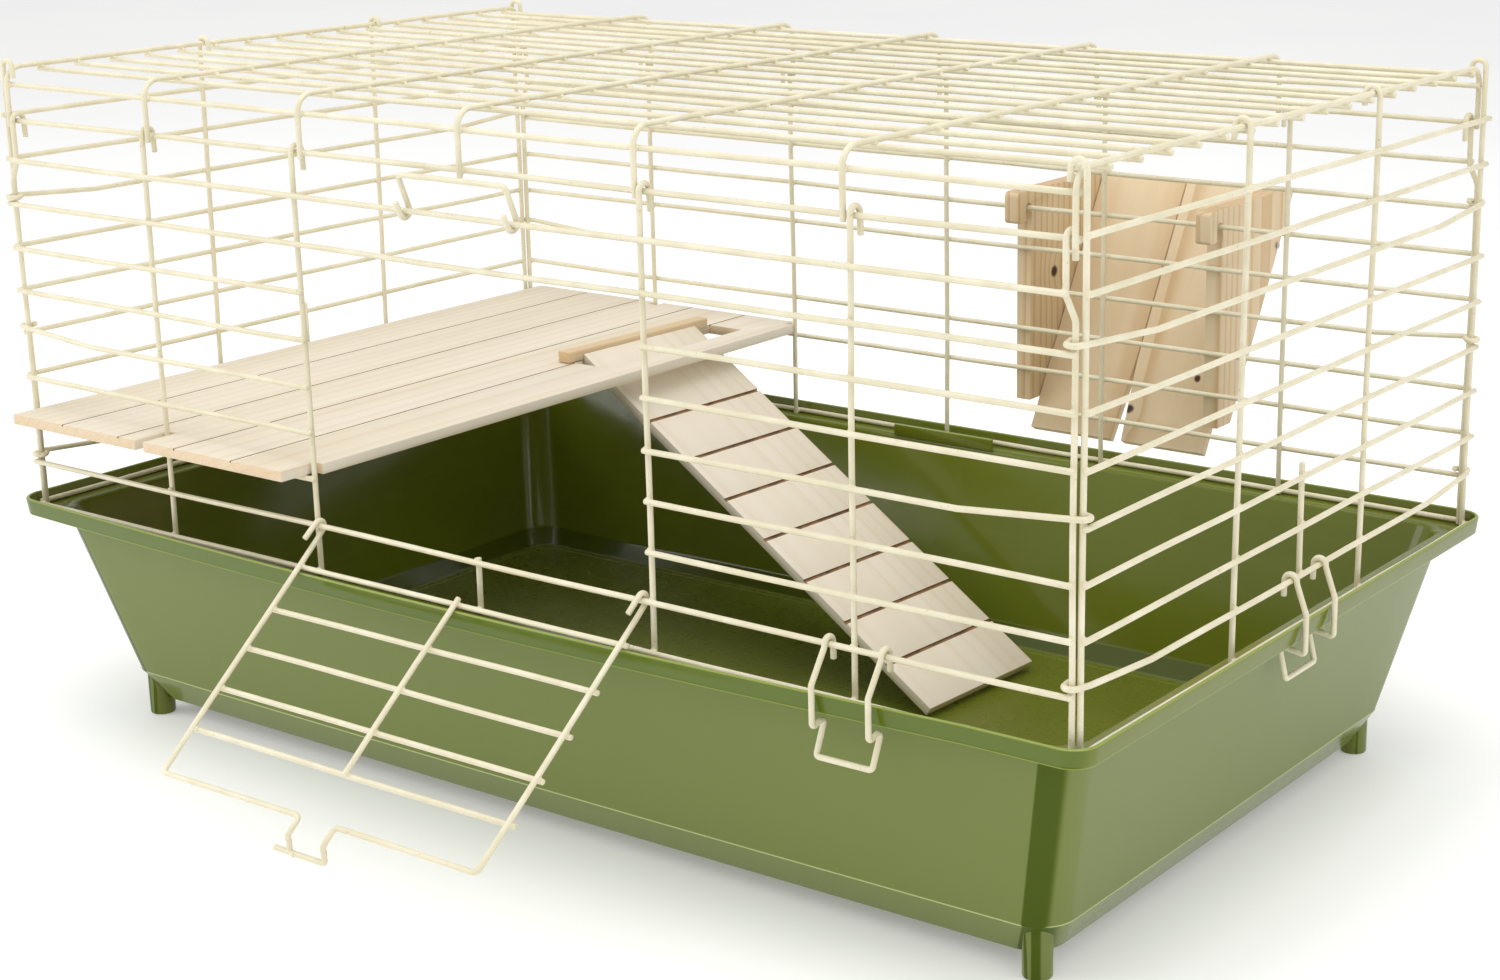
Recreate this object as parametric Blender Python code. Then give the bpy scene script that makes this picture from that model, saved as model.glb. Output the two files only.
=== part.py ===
"""Wire rabbit cage: a moulded pan, five welded wire panels, a wire door, clips, shelf, ramp and hay rack.

Metres, +Z up, floor at z = 0. X runs along the front from left to right and Y from front to back.
"""

import math

import bmesh
import bpy
from mathutils import Matrix, Quaternion, Vector

# ---- Driving dimensions -------------------------------------------------------------------------
WIRE_R = 0.0015             # radius across the flats of every wire
WIRE_SIDES = 6
WELD = 0.0027               # distance between the axes of two wires welded across each other
GAP = 0.0004                # clearance between touching pieces
PITCH = 0.0254              # spacing of the horizontal bars

HALF_W = 0.35575            # half the width between the front's corner wires
DEPTH = 0.4220              # front wire plane to back wire plane
FRONT_Y = -0.1955          # plane of the front's upright wires
BACK_Y = FRONT_Y + DEPTH
BAY = 2 * HALF_W / 6        # spacing of the front's upright wires
FRONT_X = (-2 * BAY, -BAY, BAY - 0.0020, 2 * BAY)  # inner uprights of the front
BACK_X = (-2 * BAY - 0.0030, -BAY, -0.0046, BAY - 0.0016, 2 * BAY)  # of the back, seen from behind

LEVEL_G = 0.1860            # the bar that carries the shelf
LEVELS = {name: LEVEL_G + PITCH * step for name, step in zip("HGFEDCBA", range(-1, 7))}
RAIL_Z = 0.1346             # bottom bar, resting on the pan's ledge
FLAP_Z = (0.3605, 0.3805)   # the two bars that run round under the roof at front and back
ROOF_Z = 0.3905             # roof wires that run from front to back
ROOF_BEND_R = 0.0100
ROOF_EDGE_X = 0.3523
ROOF_CROSS_X = (-ROOF_EDGE_X, -0.2330, -0.1130, 0.0, 0.1130, 0.2330, ROOF_EDGE_X)
ROOF_INSET = 0.0010         # the roof's legs stand this far inside the wire planes
LEG_FOOT_Z = 0.3570
ROOF_LONG_COUNT = 16
ROOF_LONG_PITCH = 0.0255

CORNER_TUCK = 0.0024        # front and back corner wires stand this far inside HALF_W
KINK_X = 0.3484             # and lean in to here above the kink
KINK_Z = (0.3266, 0.3372)
SIDE_X = 0.3562             # plane of the side panels' upright wires
SIDE_CORNER = 0.0028        # side panels' corner wires stand this far inside the front and back planes
SIDE_INNER_Y = {-1: (0.1425, 0.2845), 1: (0.1455, 0.2845)}     # inner uprights of the left and right panels
SIDE_TOP_BAR_Z = 0.3630
SIDE_STUB_Y = 0.2130         # the short upright between the clip's hooks
FACE_HOOK_TAIL = 0.0100
SIDE_HOOK_TAIL = 0.0060
TIE_RISE = 0.0040           # a tied bar has risen this much where it meets the corner
TIE_FROM = 0.0600
TIE_R = 0.0038

# Pan
LIP_OUT = 0.0098
LIP_TOP = 0.1395
LEDGE_TOP = 0.1325
FLOOR_TOP = 0.0180
FLOOR_UNDER = 0.0153
FLOOR_BORDER = 0.0006       # the floor is raised this much along the walls
BOW = 0.0117                # how far the front rim bulges outward
BOW_X = (-0.3858, 0.3043)   # where the bulge starts and ends
FOOT_R = 0.0075
FOOT_INSET = (0.0432, 0.0394)
RAIL_TAB_X = (-0.0307, 0.0443)
RAIL_TAB_INSET = 0.0090
RAIL_TAB_T = 0.0022
CORNER_STEPS = 6
FRONT_STEPS = 20

# Door
DOOR_X = -0.0015
DOOR_HALF = 0.1095
DOOR_LOOP_HALF = 0.1130
DOOR_OPEN = math.radians(39.0)      # how far the open door hangs below the horizontal
DOOR_TOP = 0.1550
DOOR_BAR_Y = (0.0230, 2 * PITCH, 3 * PITCH, 4 * PITCH, 5 * PITCH)
DOOR_CENTRE_FROM = 0.0200
DOOR_CENTRE_X = 0.0018
TAB_NECK_X = (-0.0155, 0.0090)      # in the door's own frame, which faces the cage
TAB_TIP_X = 0.0200
TAB_BEND = 0.1670
TAB_END = 0.1712
TAB_CRANK = 0.0075
DOOR_LOOP_R = 0.0037
DOOR_Z = -DOOR_LOOP_R                # the door's side wires run under bar H
DOOR_BEND_R = 0.0030
DOOR_TAIL = 0.0110
HINGE_Y = FRONT_Y - WELD
NUB = 0.0030

# Door latch
LATCH_HALF = 0.0365
LATCH_REACH = 0.0188
LATCH_LEAN = math.radians(21.0)
LATCH_TAIL = 0.0070
LATCH_BEND_R = 0.0035
LATCH_X = 0.00075

# Clips
CLIP_HALF = 0.0160
CLIP_LOOP_R = 0.0037
CLIP_TAIL = 0.0085
CLIP_BEND_R = 0.0016
CLIP_LOW_Z = -0.0375        # lowest bend of the arms, under the lip
CLIP_GRIP_Z = -0.0346
CLIP_HANDLE_Z = -0.0520
CLIP_SHAPE = {              # how far outside bar H the arms, the gripping bend and the handle are
    "front_clip": (0.0142, 0.0038, 0.0115),
    "back_clip": (0.0091, -0.0052, -0.0010),
    "right_clip": (0.0091, -0.0052, -0.0010),
    "left_clip": (0.0091, -0.0052, -0.0010),
}
CLIP_FRONT_X = 0.24025
CLIP_SIDE_Y = FRONT_Y + 0.2150

# Shelf and ramp
SHELF_X = (-0.3477, -0.1157)
SHELF_Y = (FRONT_Y - 0.0200, BACK_Y + 0.0045)
SHELF_Z = (LEVEL_G + 0.0019, LEVEL_G + 0.0077)
SHELF_CLEAR = 0.0020        # round the wires that pass through the shelf's edge
SLOT_X = (-0.1625, -0.1350)
SLOT_Y = (FRONT_Y + 0.2560, FRONT_Y + 0.3880)
GROOVE_W = 0.0012
GROOVE_DEPTH = 0.0012

RAMP_YAW = math.radians(-3.2)
RAMP_SLOPE = math.radians(32.6)
RAMP_W = 0.1020
RAMP_T = 0.0058
RAMP_TOP_Z = 0.0040         # the ramp's upper edge, from the shelf's top
RAMP_REST = 0.0018          # its lower edge, from the pan's floor
RAMP_GROOVES = 7
RAMP_GROOVE_PITCH = 0.0366
RAMP_GROOVE_FIRST = 0.0373
CLEAT_W = 0.0090
CLEAT_H = 0.0070
CLEAT_LENGTH = 0.1280
CLEAT_CORNER = Vector((-0.1680, FRONT_Y + 0.3150, SHELF_Z[1] + GAP))

# Hay rack on the back
RACK_X = (0.0540, 0.1960)
RACK_BOARD_T = 0.0100
RACK_TOP = 0.2980
RACK_TIP = 0.1650
RACK_DEPTH = 0.0950
RACK_SLAT_T = 0.0060
RACK_SLAT_FOOT = 0.1480
RACK_FRONT = WIRE_R + 0.0006  # the boards' front edge, from the axis of bar C
RACK_TURN = (math.pi / 2, 0, math.pi / 2)
BRAD_HEAD_R = 0.0019
BRAD_HEAD_T = 0.0006
BRAD_SHARES = (0.30, 0.80)  # how far up the slats' edges the brads are

COLOURS = {
    "green_plastic": ((0.16, 0.20, 0.03), 0.30, 0.0),
    "cream_wire": ((0.78, 0.73, 0.55), 0.35, 0.0),
    "pale_wood": ((0.80, 0.68, 0.50), 0.75, 0.0),
    "rack_wood": ((0.72, 0.52, 0.30), 0.75, 0.0),
    "brad_steel": ((0.55, 0.53, 0.50), 0.40, 1.0),
}


# ---- Helpers ------------------------------------------------------------------------------------
def clear_scene():
    for obj in list(bpy.data.objects):
        bpy.data.objects.remove(obj, do_unlink=True)


def material(name):
    colour, roughness, metallic = COLOURS[name]
    found = bpy.data.materials.get(name)
    if found:
        return found
    made = bpy.data.materials.new(name)
    made.use_nodes = True
    shader = made.node_tree.nodes["Principled BSDF"]
    shader.inputs["Base Color"].default_value = (*colour, 1.0)
    shader.inputs["Roughness"].default_value = roughness
    shader.inputs["Metallic"].default_value = metallic
    return made


def new_object(name, bm, finish, location=(0, 0, 0), rotation=(0, 0, 0)):
    bmesh.ops.recalc_face_normals(bm, faces=bm.faces)
    mesh = bpy.data.meshes.new(name)
    bm.to_mesh(mesh)
    bm.free()
    obj = bpy.data.objects.new(name, mesh)
    obj.location = location
    obj.rotation_euler = rotation
    mesh.materials.append(material(finish))
    bpy.context.scene.collection.objects.link(obj)
    return obj


def boolean(target, tool, operation):
    """Applies one exact Boolean to the target's mesh and removes the tool."""
    modifier = target.modifiers.new(operation.lower(), "BOOLEAN")
    modifier.operation = operation
    modifier.solver = "EXACT"
    modifier.object = tool
    bpy.context.view_layer.update()
    graph = bpy.context.evaluated_depsgraph_get()
    mesh = bpy.data.meshes.new_from_object(target.evaluated_get(graph))
    target.modifiers.clear()
    old = target.data
    target.data = mesh
    bpy.data.meshes.remove(old)
    bpy.data.objects.remove(tool, do_unlink=True)
    return target


def arc(centre, start, end, steps):
    """Points on the circle from start to end about the centre, given as offsets from it."""
    start, end = Vector(start), Vector(end)
    turn = start.rotation_difference(end)
    axis, angle = turn.to_axis_angle()
    return [Vector(centre) + Quaternion(axis, angle * step / steps) @ start for step in range(steps + 1)]


def rounded(points, radius, steps=3):
    """The polyline with each inner corner replaced by an arc of the given radius."""
    path = [Vector(points[0])]
    for before, corner, after in zip(points, points[1:], points[2:]):
        corner = Vector(corner)
        to_before = (Vector(before) - corner).normalized()
        to_after = (Vector(after) - corner).normalized()
        half = to_before.angle(to_after) / 2
        reach = radius / math.tan(half)
        centre = corner + (to_before + to_after).normalized() * (radius / math.sin(half))
        path += arc(centre, corner + to_before * reach - centre, corner + to_after * reach - centre, steps)
    path.append(Vector(points[-1]))
    return path


def wire(bm, path, flat):
    """Adds one closed six-sided wire along the path. It starts with a flat facing the given direction."""
    outer = WIRE_R / math.cos(math.pi / WIRE_SIDES)
    across = Vector(flat)
    rings = []
    for before, point, after in zip([None] + path[:-1], path, path[1:] + [None]):
        ahead = (after - point).normalized() if after is not None else None
        behind = (point - before).normalized() if before is not None else None
        tangent = ((ahead or behind) + (behind or ahead)).normalized()
        across = (across - tangent * tangent.dot(across)).normalized()
        side = tangent.cross(across)
        ring = []
        for corner in range(WIRE_SIDES):
            angle = math.pi * (2 * corner + 1) / WIRE_SIDES
            ring.append(bm.verts.new(point + (across * math.cos(angle) + side * math.sin(angle)) * outer))
        rings.append(ring)
    for first, second in zip(rings, rings[1:]):
        for corner in range(WIRE_SIDES):
            following = (corner + 1) % WIRE_SIDES
            bm.faces.new((first[corner], first[following], second[following], second[corner]))
    bm.faces.new(list(reversed(rings[0])))
    bm.faces.new(rings[-1])


def welded(name, groups, location=(0, 0, 0), rotation=(0, 0, 0)):
    """One body from groups of wires. Wires in one group don't touch; groups overlap at their welds.

    Each wire is a pair: its path and the direction that one of its flats faces.
    """
    made = []
    for index, group in enumerate(groups):
        bm = bmesh.new()
        for path, flat in group:
            wire(bm, [Vector(point) for point in path], flat)
        made.append(new_object(f"{name}_{index}", bm, "cream_wire", location, rotation))
    panel = made[0]
    for tool in made[1:]:
        boolean(panel, tool, "UNION")
    panel.name = name
    panel.data.name = name
    return panel


def box(name, low, high, finish):
    bm = bmesh.new()
    bmesh.ops.create_cube(bm, size=1.0)
    low, high = Vector(low), Vector(high)
    size = high - low
    for vert in bm.verts:
        vert.co = Vector([c * s for c, s in zip(vert.co, size)]) + (low + high) / 2
    return new_object(name, bm, finish)


def prism(name, outline, thickness, finish, location=(0, 0, 0), rotation=(0, 0, 0)):
    """A closed outline in the local XY plane, extruded up local Z by the thickness."""
    bm = bmesh.new()
    verts = [bm.verts.new((x, y, 0.0)) for x, y in outline]
    face = bm.faces.new(verts)
    grown = bmesh.ops.extrude_face_region(bm, geom=[face])
    moved = [item for item in grown["geom"] if isinstance(item, bmesh.types.BMVert)]
    bmesh.ops.translate(bm, verts=moved, vec=(0.0, 0.0, thickness))
    return new_object(name, bm, finish, location, rotation)


# ---- Pan ----------------------------------------------------------------------------------------
def front_bow(x):
    start, end = BOW_X
    if not start < x < end:
        return 0.0
    return BOW * math.sin(math.pi * (x - start) / (end - start))


def pan_loop(bm, offset, z, radius, bow):
    """A rounded rectangle at the given distance outside the wire planes, with the front bulging."""
    half_x = HALF_W + offset
    low_y, high_y = FRONT_Y - offset, BACK_Y + offset
    centres = (
        (half_x - radius, high_y - radius, 0.0),
        (-half_x + radius, high_y - radius, 90.0),
        (-half_x + radius, low_y + radius, 180.0),
        (half_x - radius, low_y + radius, 270.0),
    )
    points = []
    for x, y, first in centres:
        for step in range(CORNER_STEPS + 1):
            angle = math.radians(first + 90.0 * step / CORNER_STEPS)
            points.append((x + radius * math.cos(angle), y + radius * math.sin(angle)))
        if first == 180.0:
            span = 2 * (half_x - radius)
            for step in range(1, FRONT_STEPS):
                points.append((-half_x + radius + span * step / FRONT_STEPS, low_y))
    middle = (low_y + high_y) / 2
    placed = []
    for x, y in points:
        if y < middle:
            y -= front_bow(x) * bow
        placed.append(bm.verts.new((x, y, z)))
    return placed


def base_pan():
    # offset outside the wire planes, height, corner radius, share of the front bulge
    sections = (
        (-0.0440, FLOOR_UNDER, 0.0165, 0.20),
        (-0.0430, 0.0100, 0.0165, 0.20),
        (-0.0395, 0.0100, 0.0180, 0.20),
        (-0.0285, 0.0290, 0.0200, 0.25),
        (-0.0044, 0.1300, 0.0200, 0.35),
        (0.0063, 0.1300, 0.0110, 1.00),
        (0.0066, 0.1295, 0.0110, 1.00),
        (0.0086, 0.1295, 0.0125, 1.00),
        (LIP_OUT, LIP_TOP - 0.0008, 0.0135, 1.00),
        (LIP_OUT - 0.0008, LIP_TOP, 0.0130, 1.00),
        (LIP_OUT - 0.0018, LIP_TOP, 0.0125, 1.00),
        (LIP_OUT - 0.0028, LEDGE_TOP, 0.0115, 1.00),
        (-0.0075, LEDGE_TOP, 0.0180, 0.35),
        (-0.0318, 0.0290, 0.0200, 0.25),
        (-0.0405, FLOOR_TOP + FLOOR_BORDER, 0.0185, 0.25),
        (-0.0440, FLOOR_TOP + FLOOR_BORDER, 0.0180, 0.20),
        (-0.0455, FLOOR_TOP, 0.0170, 0.20),
    )
    bm = bmesh.new()
    loops = [pan_loop(bm, *section) for section in sections]
    for first, second in zip(loops, loops[1:]):
        for index, vert in enumerate(first):
            following = (index + 1) % len(first)
            bm.faces.new((vert, first[following], second[following], second[index]))
    bm.faces.new(loops[0])
    bm.faces.new(loops[-1])
    pan = new_object("base_pan", bm, "green_plastic")
    for x in (-1, 1):
        for y in (FRONT_Y + FOOT_INSET[1], BACK_Y - FOOT_INSET[1]):
            boolean(pan, pan_foot(x * (HALF_W - FOOT_INSET[0]), y), "UNION")
    boolean(pan, rail_tab(), "UNION")
    return pan


def pan_foot(x, y):
    bm = bmesh.new()
    top = FLOOR_UNDER + 0.0012
    bmesh.ops.create_cone(
        bm, cap_ends=True, segments=20, radius1=FOOT_R, radius2=FOOT_R + 0.0008, depth=top,
        matrix=Matrix.Translation((x, y, top / 2)),
    )
    return new_object("foot", bm, "green_plastic")


def rail_tab():
    """A small upstand on the back ledge that keeps the wire rail in place."""
    low = (RAIL_TAB_X[0], BACK_Y - RAIL_TAB_INSET, LEDGE_TOP - 0.0010)
    high = (RAIL_TAB_X[1], BACK_Y - RAIL_TAB_INSET + RAIL_TAB_T, LIP_TOP)
    return box("tab", low, high, "green_plastic")


# ---- Wire panels --------------------------------------------------------------------------------
# Panels are built in a local frame: X along the panel, Z up, +Y towards the inside of the cage.
OUTWARD = (0, -1, 0)


def hooked_upright(foot, top_centre, offset, tail):
    """An upright wire that rises to a hook over the bar at top_centre, with its tail inside."""
    over = arc(top_centre, (0, -offset, 0), (0, 0, offset), 3)
    over += arc(top_centre, (0, 0, offset), (0, offset, 0), 3)[1:]
    return [Vector(point) for point in foot] + over + [over[-1] - Vector((0, 0, tail))]


def corner_upright(side, offset, foot_z):
    low = side * (HALF_W - CORNER_TUCK)
    high = side * KINK_X
    foot = [(low, 0, foot_z), (low, 0, KINK_Z[0]), (high, 0, KINK_Z[1])]
    return hooked_upright(foot, (high, offset, FLAP_Z[0]), offset, FACE_HOOK_TAIL)


def bar(x_from, x_to, z):
    return [(x_from, -WELD, z), (x_to, -WELD, z)], OUTWARD


def tied_bar(half, z, post):
    """A bar whose two ends rise and wrap round the neighbouring panels' corner wires."""
    post_x, post_y = post
    ends = []
    for side in (-1, 1):
        centre = (side * post_x, post_y, z + TIE_RISE)
        outside = arc(centre, (0, -TIE_R, 0), (side * TIE_R, 0, 0), 3)
        behind = arc(centre, (side * TIE_R, 0, 0), (0, TIE_R, 0), 3)[1:]
        start = Vector((side * (half - TIE_FROM), -WELD, z))
        bend = Vector((side * (half - 0.0060), -WELD, z + TIE_RISE))
        ends.append([start, bend] + outside + behind)
    return list(reversed(ends[0])) + ends[1], OUTWARD


def face_panel(name, uprights, doorway, location, rotation):
    """The front or back panel, hooked over the roof's lower flap bar."""
    offset = ROOF_INSET + WELD
    foot_z = RAIL_Z - WIRE_R
    posts = []
    for x in uprights:
        post = hooked_upright([(x, 0, foot_z)], (x, offset, FLAP_Z[0]), offset, FACE_HOOK_TAIL)
        posts.append((post, OUTWARD))
    posts += [(corner_upright(side, offset, foot_z), OUTWARD) for side in (-1, 1)]
    edge = HALF_W - CORNER_TUCK + WIRE_R
    bars = []
    for level, z in LEVELS.items():
        if level == "E":
            continue
        half = KINK_X + WIRE_R if level == "A" else edge
        if doorway and level in "GFDC":
            bars.append(bar(-half, -BAY + NUB, z))
            bars.append(bar(BAY - NUB, half, z))
        else:
            bars.append(bar(-half, half, z))
    bars.append(bar(-edge, edge, RAIL_Z))
    if doorway:
        bars += split_tied_bar(LEVELS["E"])
        posts.append(([(0, 0, foot_z), (0, 0, LEVELS["H"] + WIRE_R)], OUTWARD))
    else:
        bars.append(tied_bar(HALF_W, LEVELS["E"], face_tie_post()))
    return welded(name, [bars, posts], location, rotation)


def face_tie_post():
    """Where a side panel's corner wire stands, in the front panel's frame."""
    return SIDE_X, SIDE_CORNER


def split_tied_bar(z):
    path, flat = tied_bar(HALF_W, z, face_tie_post())
    left = [point for point in path if point.x < 0] + [Vector((-BAY + NUB, -WELD, z))]
    right = [Vector((BAY - NUB, -WELD, z))] + [point for point in path if point.x > 0]
    return [(left, flat), (right, flat)]


def side_panel(name, side):
    """A side panel, hooked over the roof's edge wire. Local X runs along the cage's depth."""
    offset = SIDE_X - ROOF_EDGE_X
    foot_z = RAIL_Z - WIRE_R
    middle = (FRONT_Y + BACK_Y) / 2
    stations = [FRONT_Y + SIDE_CORNER, BACK_Y - SIDE_CORNER] + [FRONT_Y + y for y in SIDE_INNER_Y[side]]
    posts = []
    for y in stations:
        x = (y - middle) * side
        posts.append((hooked_upright([(x, 0, foot_z)], (x, offset, ROOF_Z), offset, SIDE_HOOK_TAIL), OUTWARD))
    stub = (FRONT_Y + SIDE_STUB_Y - middle) * side
    posts.append(([(stub, 0, LEVELS["H"] - WIRE_R), (stub, 0, LEVELS["F"] + 0.0060)], OUTWARD))
    half = DEPTH / 2
    edge = half - SIDE_CORNER + WIRE_R
    neighbour = (half, SIDE_X - HALF_W + CORNER_TUCK)
    bars = [bar(-edge, edge, RAIL_Z), bar(-edge, edge, SIDE_TOP_BAR_Z)]
    for level, z in LEVELS.items():
        bars.append(tied_bar(half, z, neighbour) if level in "BH" else bar(-edge, edge, z))
    rotation = (0, 0, side * math.pi / 2)
    return welded(name, [bars, posts], (side * SIDE_X, middle, 0), rotation)


def roof_panel():
    low = FRONT_Y + ROOF_INSET
    high = BACK_Y - ROOF_INSET
    cross = []
    for x in ROOF_CROSS_X:
        outline = [(x, low, LEG_FOOT_Z), (x, low, ROOF_Z), (x, high, ROOF_Z), (x, high, LEG_FOOT_Z)]
        cross.append((rounded(outline, ROOF_BEND_R), (0, 1, 0.001)))
    reach = ROOF_EDGE_X + 0.0011
    long_wires = []
    for index in range(1, ROOF_LONG_COUNT + 1):
        y = FRONT_Y + index * ROOF_LONG_PITCH
        long_wires.append(([(-reach, y, ROOF_Z - WELD), (reach, y, ROOF_Z - WELD)], (0, 0, 1)))
    for y in (low + WELD, high - WELD):
        for z in FLAP_Z:
            long_wires.append(([(-reach, y, z), (reach, y, z)], (0, 1, 0)))
    return welded("roof_panel", [cross, long_wires])


# ---- Door, latch and clips ----------------------------------------------------------------------
def eye(x, from_angle, to_angle, radius, steps=6):
    """Part of a wire loop round the local X axis; angles are measured from +Y towards +Z."""
    points = []
    for step in range(steps + 1):
        angle = math.radians(from_angle + (to_angle - from_angle) * step / steps)
        points.append(Vector((x, radius * math.cos(angle), radius * math.sin(angle))))
    return points


def door():
    """Built with local +Y along the door, away from its hinge, and +Z on its inner face."""
    up = (0, 0, 1)
    left = door_side(-1) + door_rim(-1, TAB_NECK_X[0])
    right = door_side(1) + door_rim(1, TAB_NECK_X[1])
    tab_z = DOOR_Z - TAB_CRANK
    left += [Vector((TAB_NECK_X[0], TAB_END, tab_z)), Vector((TAB_TIP_X, TAB_END, tab_z))]
    right.append(Vector((TAB_NECK_X[1], TAB_END, tab_z)))
    centre = [(-DOOR_CENTRE_X, DOOR_CENTRE_FROM, DOOR_Z), (-DOOR_CENTRE_X, DOOR_BAR_Y[-1] + WIRE_R, DOOR_Z)]
    cross_z = DOOR_Z - WELD
    cross = []
    for y in DOOR_BAR_Y:
        reach = door_half(y) + WIRE_R
        cross.append([(-reach, y, cross_z), (reach, y, cross_z)])
    groups = [[(left, up)], [(right, up), (centre, up)], [(path, up) for path in cross]]
    rotation = (-DOOR_OPEN, 0, math.pi)
    return welded("door", groups, (DOOR_X, HINGE_Y, LEVELS["H"]), rotation)


def door_half(y):
    """Half the width between the door's two side wires, that far from the hinge."""
    return DOOR_LOOP_HALF + (DOOR_HALF - DOOR_LOOP_HALF) * y / DOOR_TOP


def door_side(side):
    """The tail above bar H and the open loop round it, which ends under the bar."""
    x = side * DOOR_LOOP_HALF
    tail = Vector((x, DOOR_TAIL, DOOR_LOOP_R))
    return [tail] + eye(x, 90, 270, DOOR_LOOP_R)


def door_rim(side, neck_x):
    """The door's side, its share of the top edge, and the pull tab's neck, which cranks outward."""
    start_y = 0.0100
    outline = [
        (side * door_half(start_y), start_y, DOOR_Z), (side * DOOR_HALF, DOOR_TOP, DOOR_Z),
        (neck_x, DOOR_TOP, DOOR_Z), (neck_x, TAB_BEND, DOOR_Z),
        (neck_x, TAB_BEND, DOOR_Z - TAB_CRANK + 0.0015),
    ]
    return rounded(outline, DOOR_BEND_R)


def door_latch():
    """A wire bail whose ends loop under bar A above the doorway; local Z runs up the bail."""
    loop_r = DOOR_LOOP_R
    tails = [Vector((side * LATCH_HALF, -loop_r, LATCH_TAIL)) for side in (-1, 1)]
    left = [tails[0]] + eye(-LATCH_HALF, 180, 360, loop_r)
    right = [tails[1]] + eye(LATCH_HALF, 180, 360, loop_r)
    bail = [
        (-LATCH_HALF, loop_r, 0.0010), (-LATCH_HALF, loop_r, LATCH_REACH),
        (LATCH_HALF, loop_r, LATCH_REACH), (LATCH_HALF, loop_r, 0.0010),
    ]
    path = left[:-1] + rounded(bail, LATCH_BEND_R) + list(reversed(right[:-1]))
    location = (LATCH_X, HINGE_Y, LEVELS["A"])
    return welded("door_latch", [[(path, (0, -1, 0))]], location, (LATCH_LEAN, 0, 0))


def clip(name, location, turn):
    """A sprung wire clip: two hooks over bar H, arms down outside the lip, and a U that grips under it."""
    reach, grip, handle = CLIP_SHAPE[name]
    strands = []
    for side in (-1, 1):
        x = side * CLIP_HALF
        tail = Vector((x, CLIP_LOOP_R, -CLIP_TAIL))
        arm = rounded([
            (x, -CLIP_LOOP_R, -0.0010), (x, -reach, -0.0170), (x, -reach, CLIP_LOW_Z),
            (x, -grip, CLIP_GRIP_Z), (x, -handle, CLIP_HANDLE_Z), (0, -handle, CLIP_HANDLE_Z),
        ], CLIP_BEND_R, 2)
        strands.append([tail] + eye(x, 0, 180, CLIP_LOOP_R)[:-1] + arm[:-1])
    path = strands[0] + list(reversed(strands[1]))
    return welded(name, [[(path, (1, 0, 0))]], location, (0, 0, turn))


# ---- Shelf and ramp -----------------------------------------------------------------------------
def cut(target, low, high):
    return boolean(target, box("cutter", low, high, "pale_wood"), "DIFFERENCE")


def shelf_board():
    low_z, high_z = SHELF_Z
    shelf = box("shelf_board", (SHELF_X[0], SHELF_Y[0], low_z), (SHELF_X[1], SHELF_Y[1], high_z), "pale_wood")
    clear = WIRE_R + SHELF_CLEAR
    through = (low_z - 0.01, high_z + 0.01)
    front_to = FRONT_Y + clear
    back_from = BACK_Y - clear
    cut(shelf, (-2 * BAY - clear, SHELF_Y[0] - 0.01, through[0]), (-2 * BAY + clear, front_to, through[1]))
    cut(shelf, (-2 * BAY - clear, back_from, through[0]), (-2 * BAY + clear, SHELF_Y[1] + 0.01, through[1]))
    cut(shelf, (-BAY - clear, SHELF_Y[0] - 0.01, through[0]), (SHELF_X[1] + 0.01, front_to, through[1]))
    cut(shelf, (-BAY - clear, back_from, through[0]), (SHELF_X[1] + 0.01, SHELF_Y[1] + 0.01, through[1]))
    cut(shelf, (SLOT_X[0], SLOT_Y[0], through[0]), (SLOT_X[1], SLOT_Y[1], through[1]))
    strip = (SHELF_X[1] - SHELF_X[0]) / 5
    for index in range(1, 5):
        x = SHELF_X[0] + strip * index
        if SLOT_X[0] - GROOVE_W < x < SLOT_X[1] + GROOVE_W:
            continue
        low = (x - GROOVE_W / 2, SHELF_Y[0] - 0.01, high_z - GROOVE_DEPTH)
        cut(shelf, low, (x + GROOVE_W / 2, SHELF_Y[1] + 0.01, high_z + 0.01))
    return shelf


def ramp_frame():
    """An empty on the ramp's hinge line, turned so that local +X points down the ramp's plan."""
    hinge = bpy.data.objects.new("ramp_hinge", None)
    hinge.location = CLEAT_CORNER
    hinge.rotation_euler = (0, 0, RAMP_YAW)
    bpy.context.scene.collection.objects.link(hinge)
    return hinge


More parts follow.
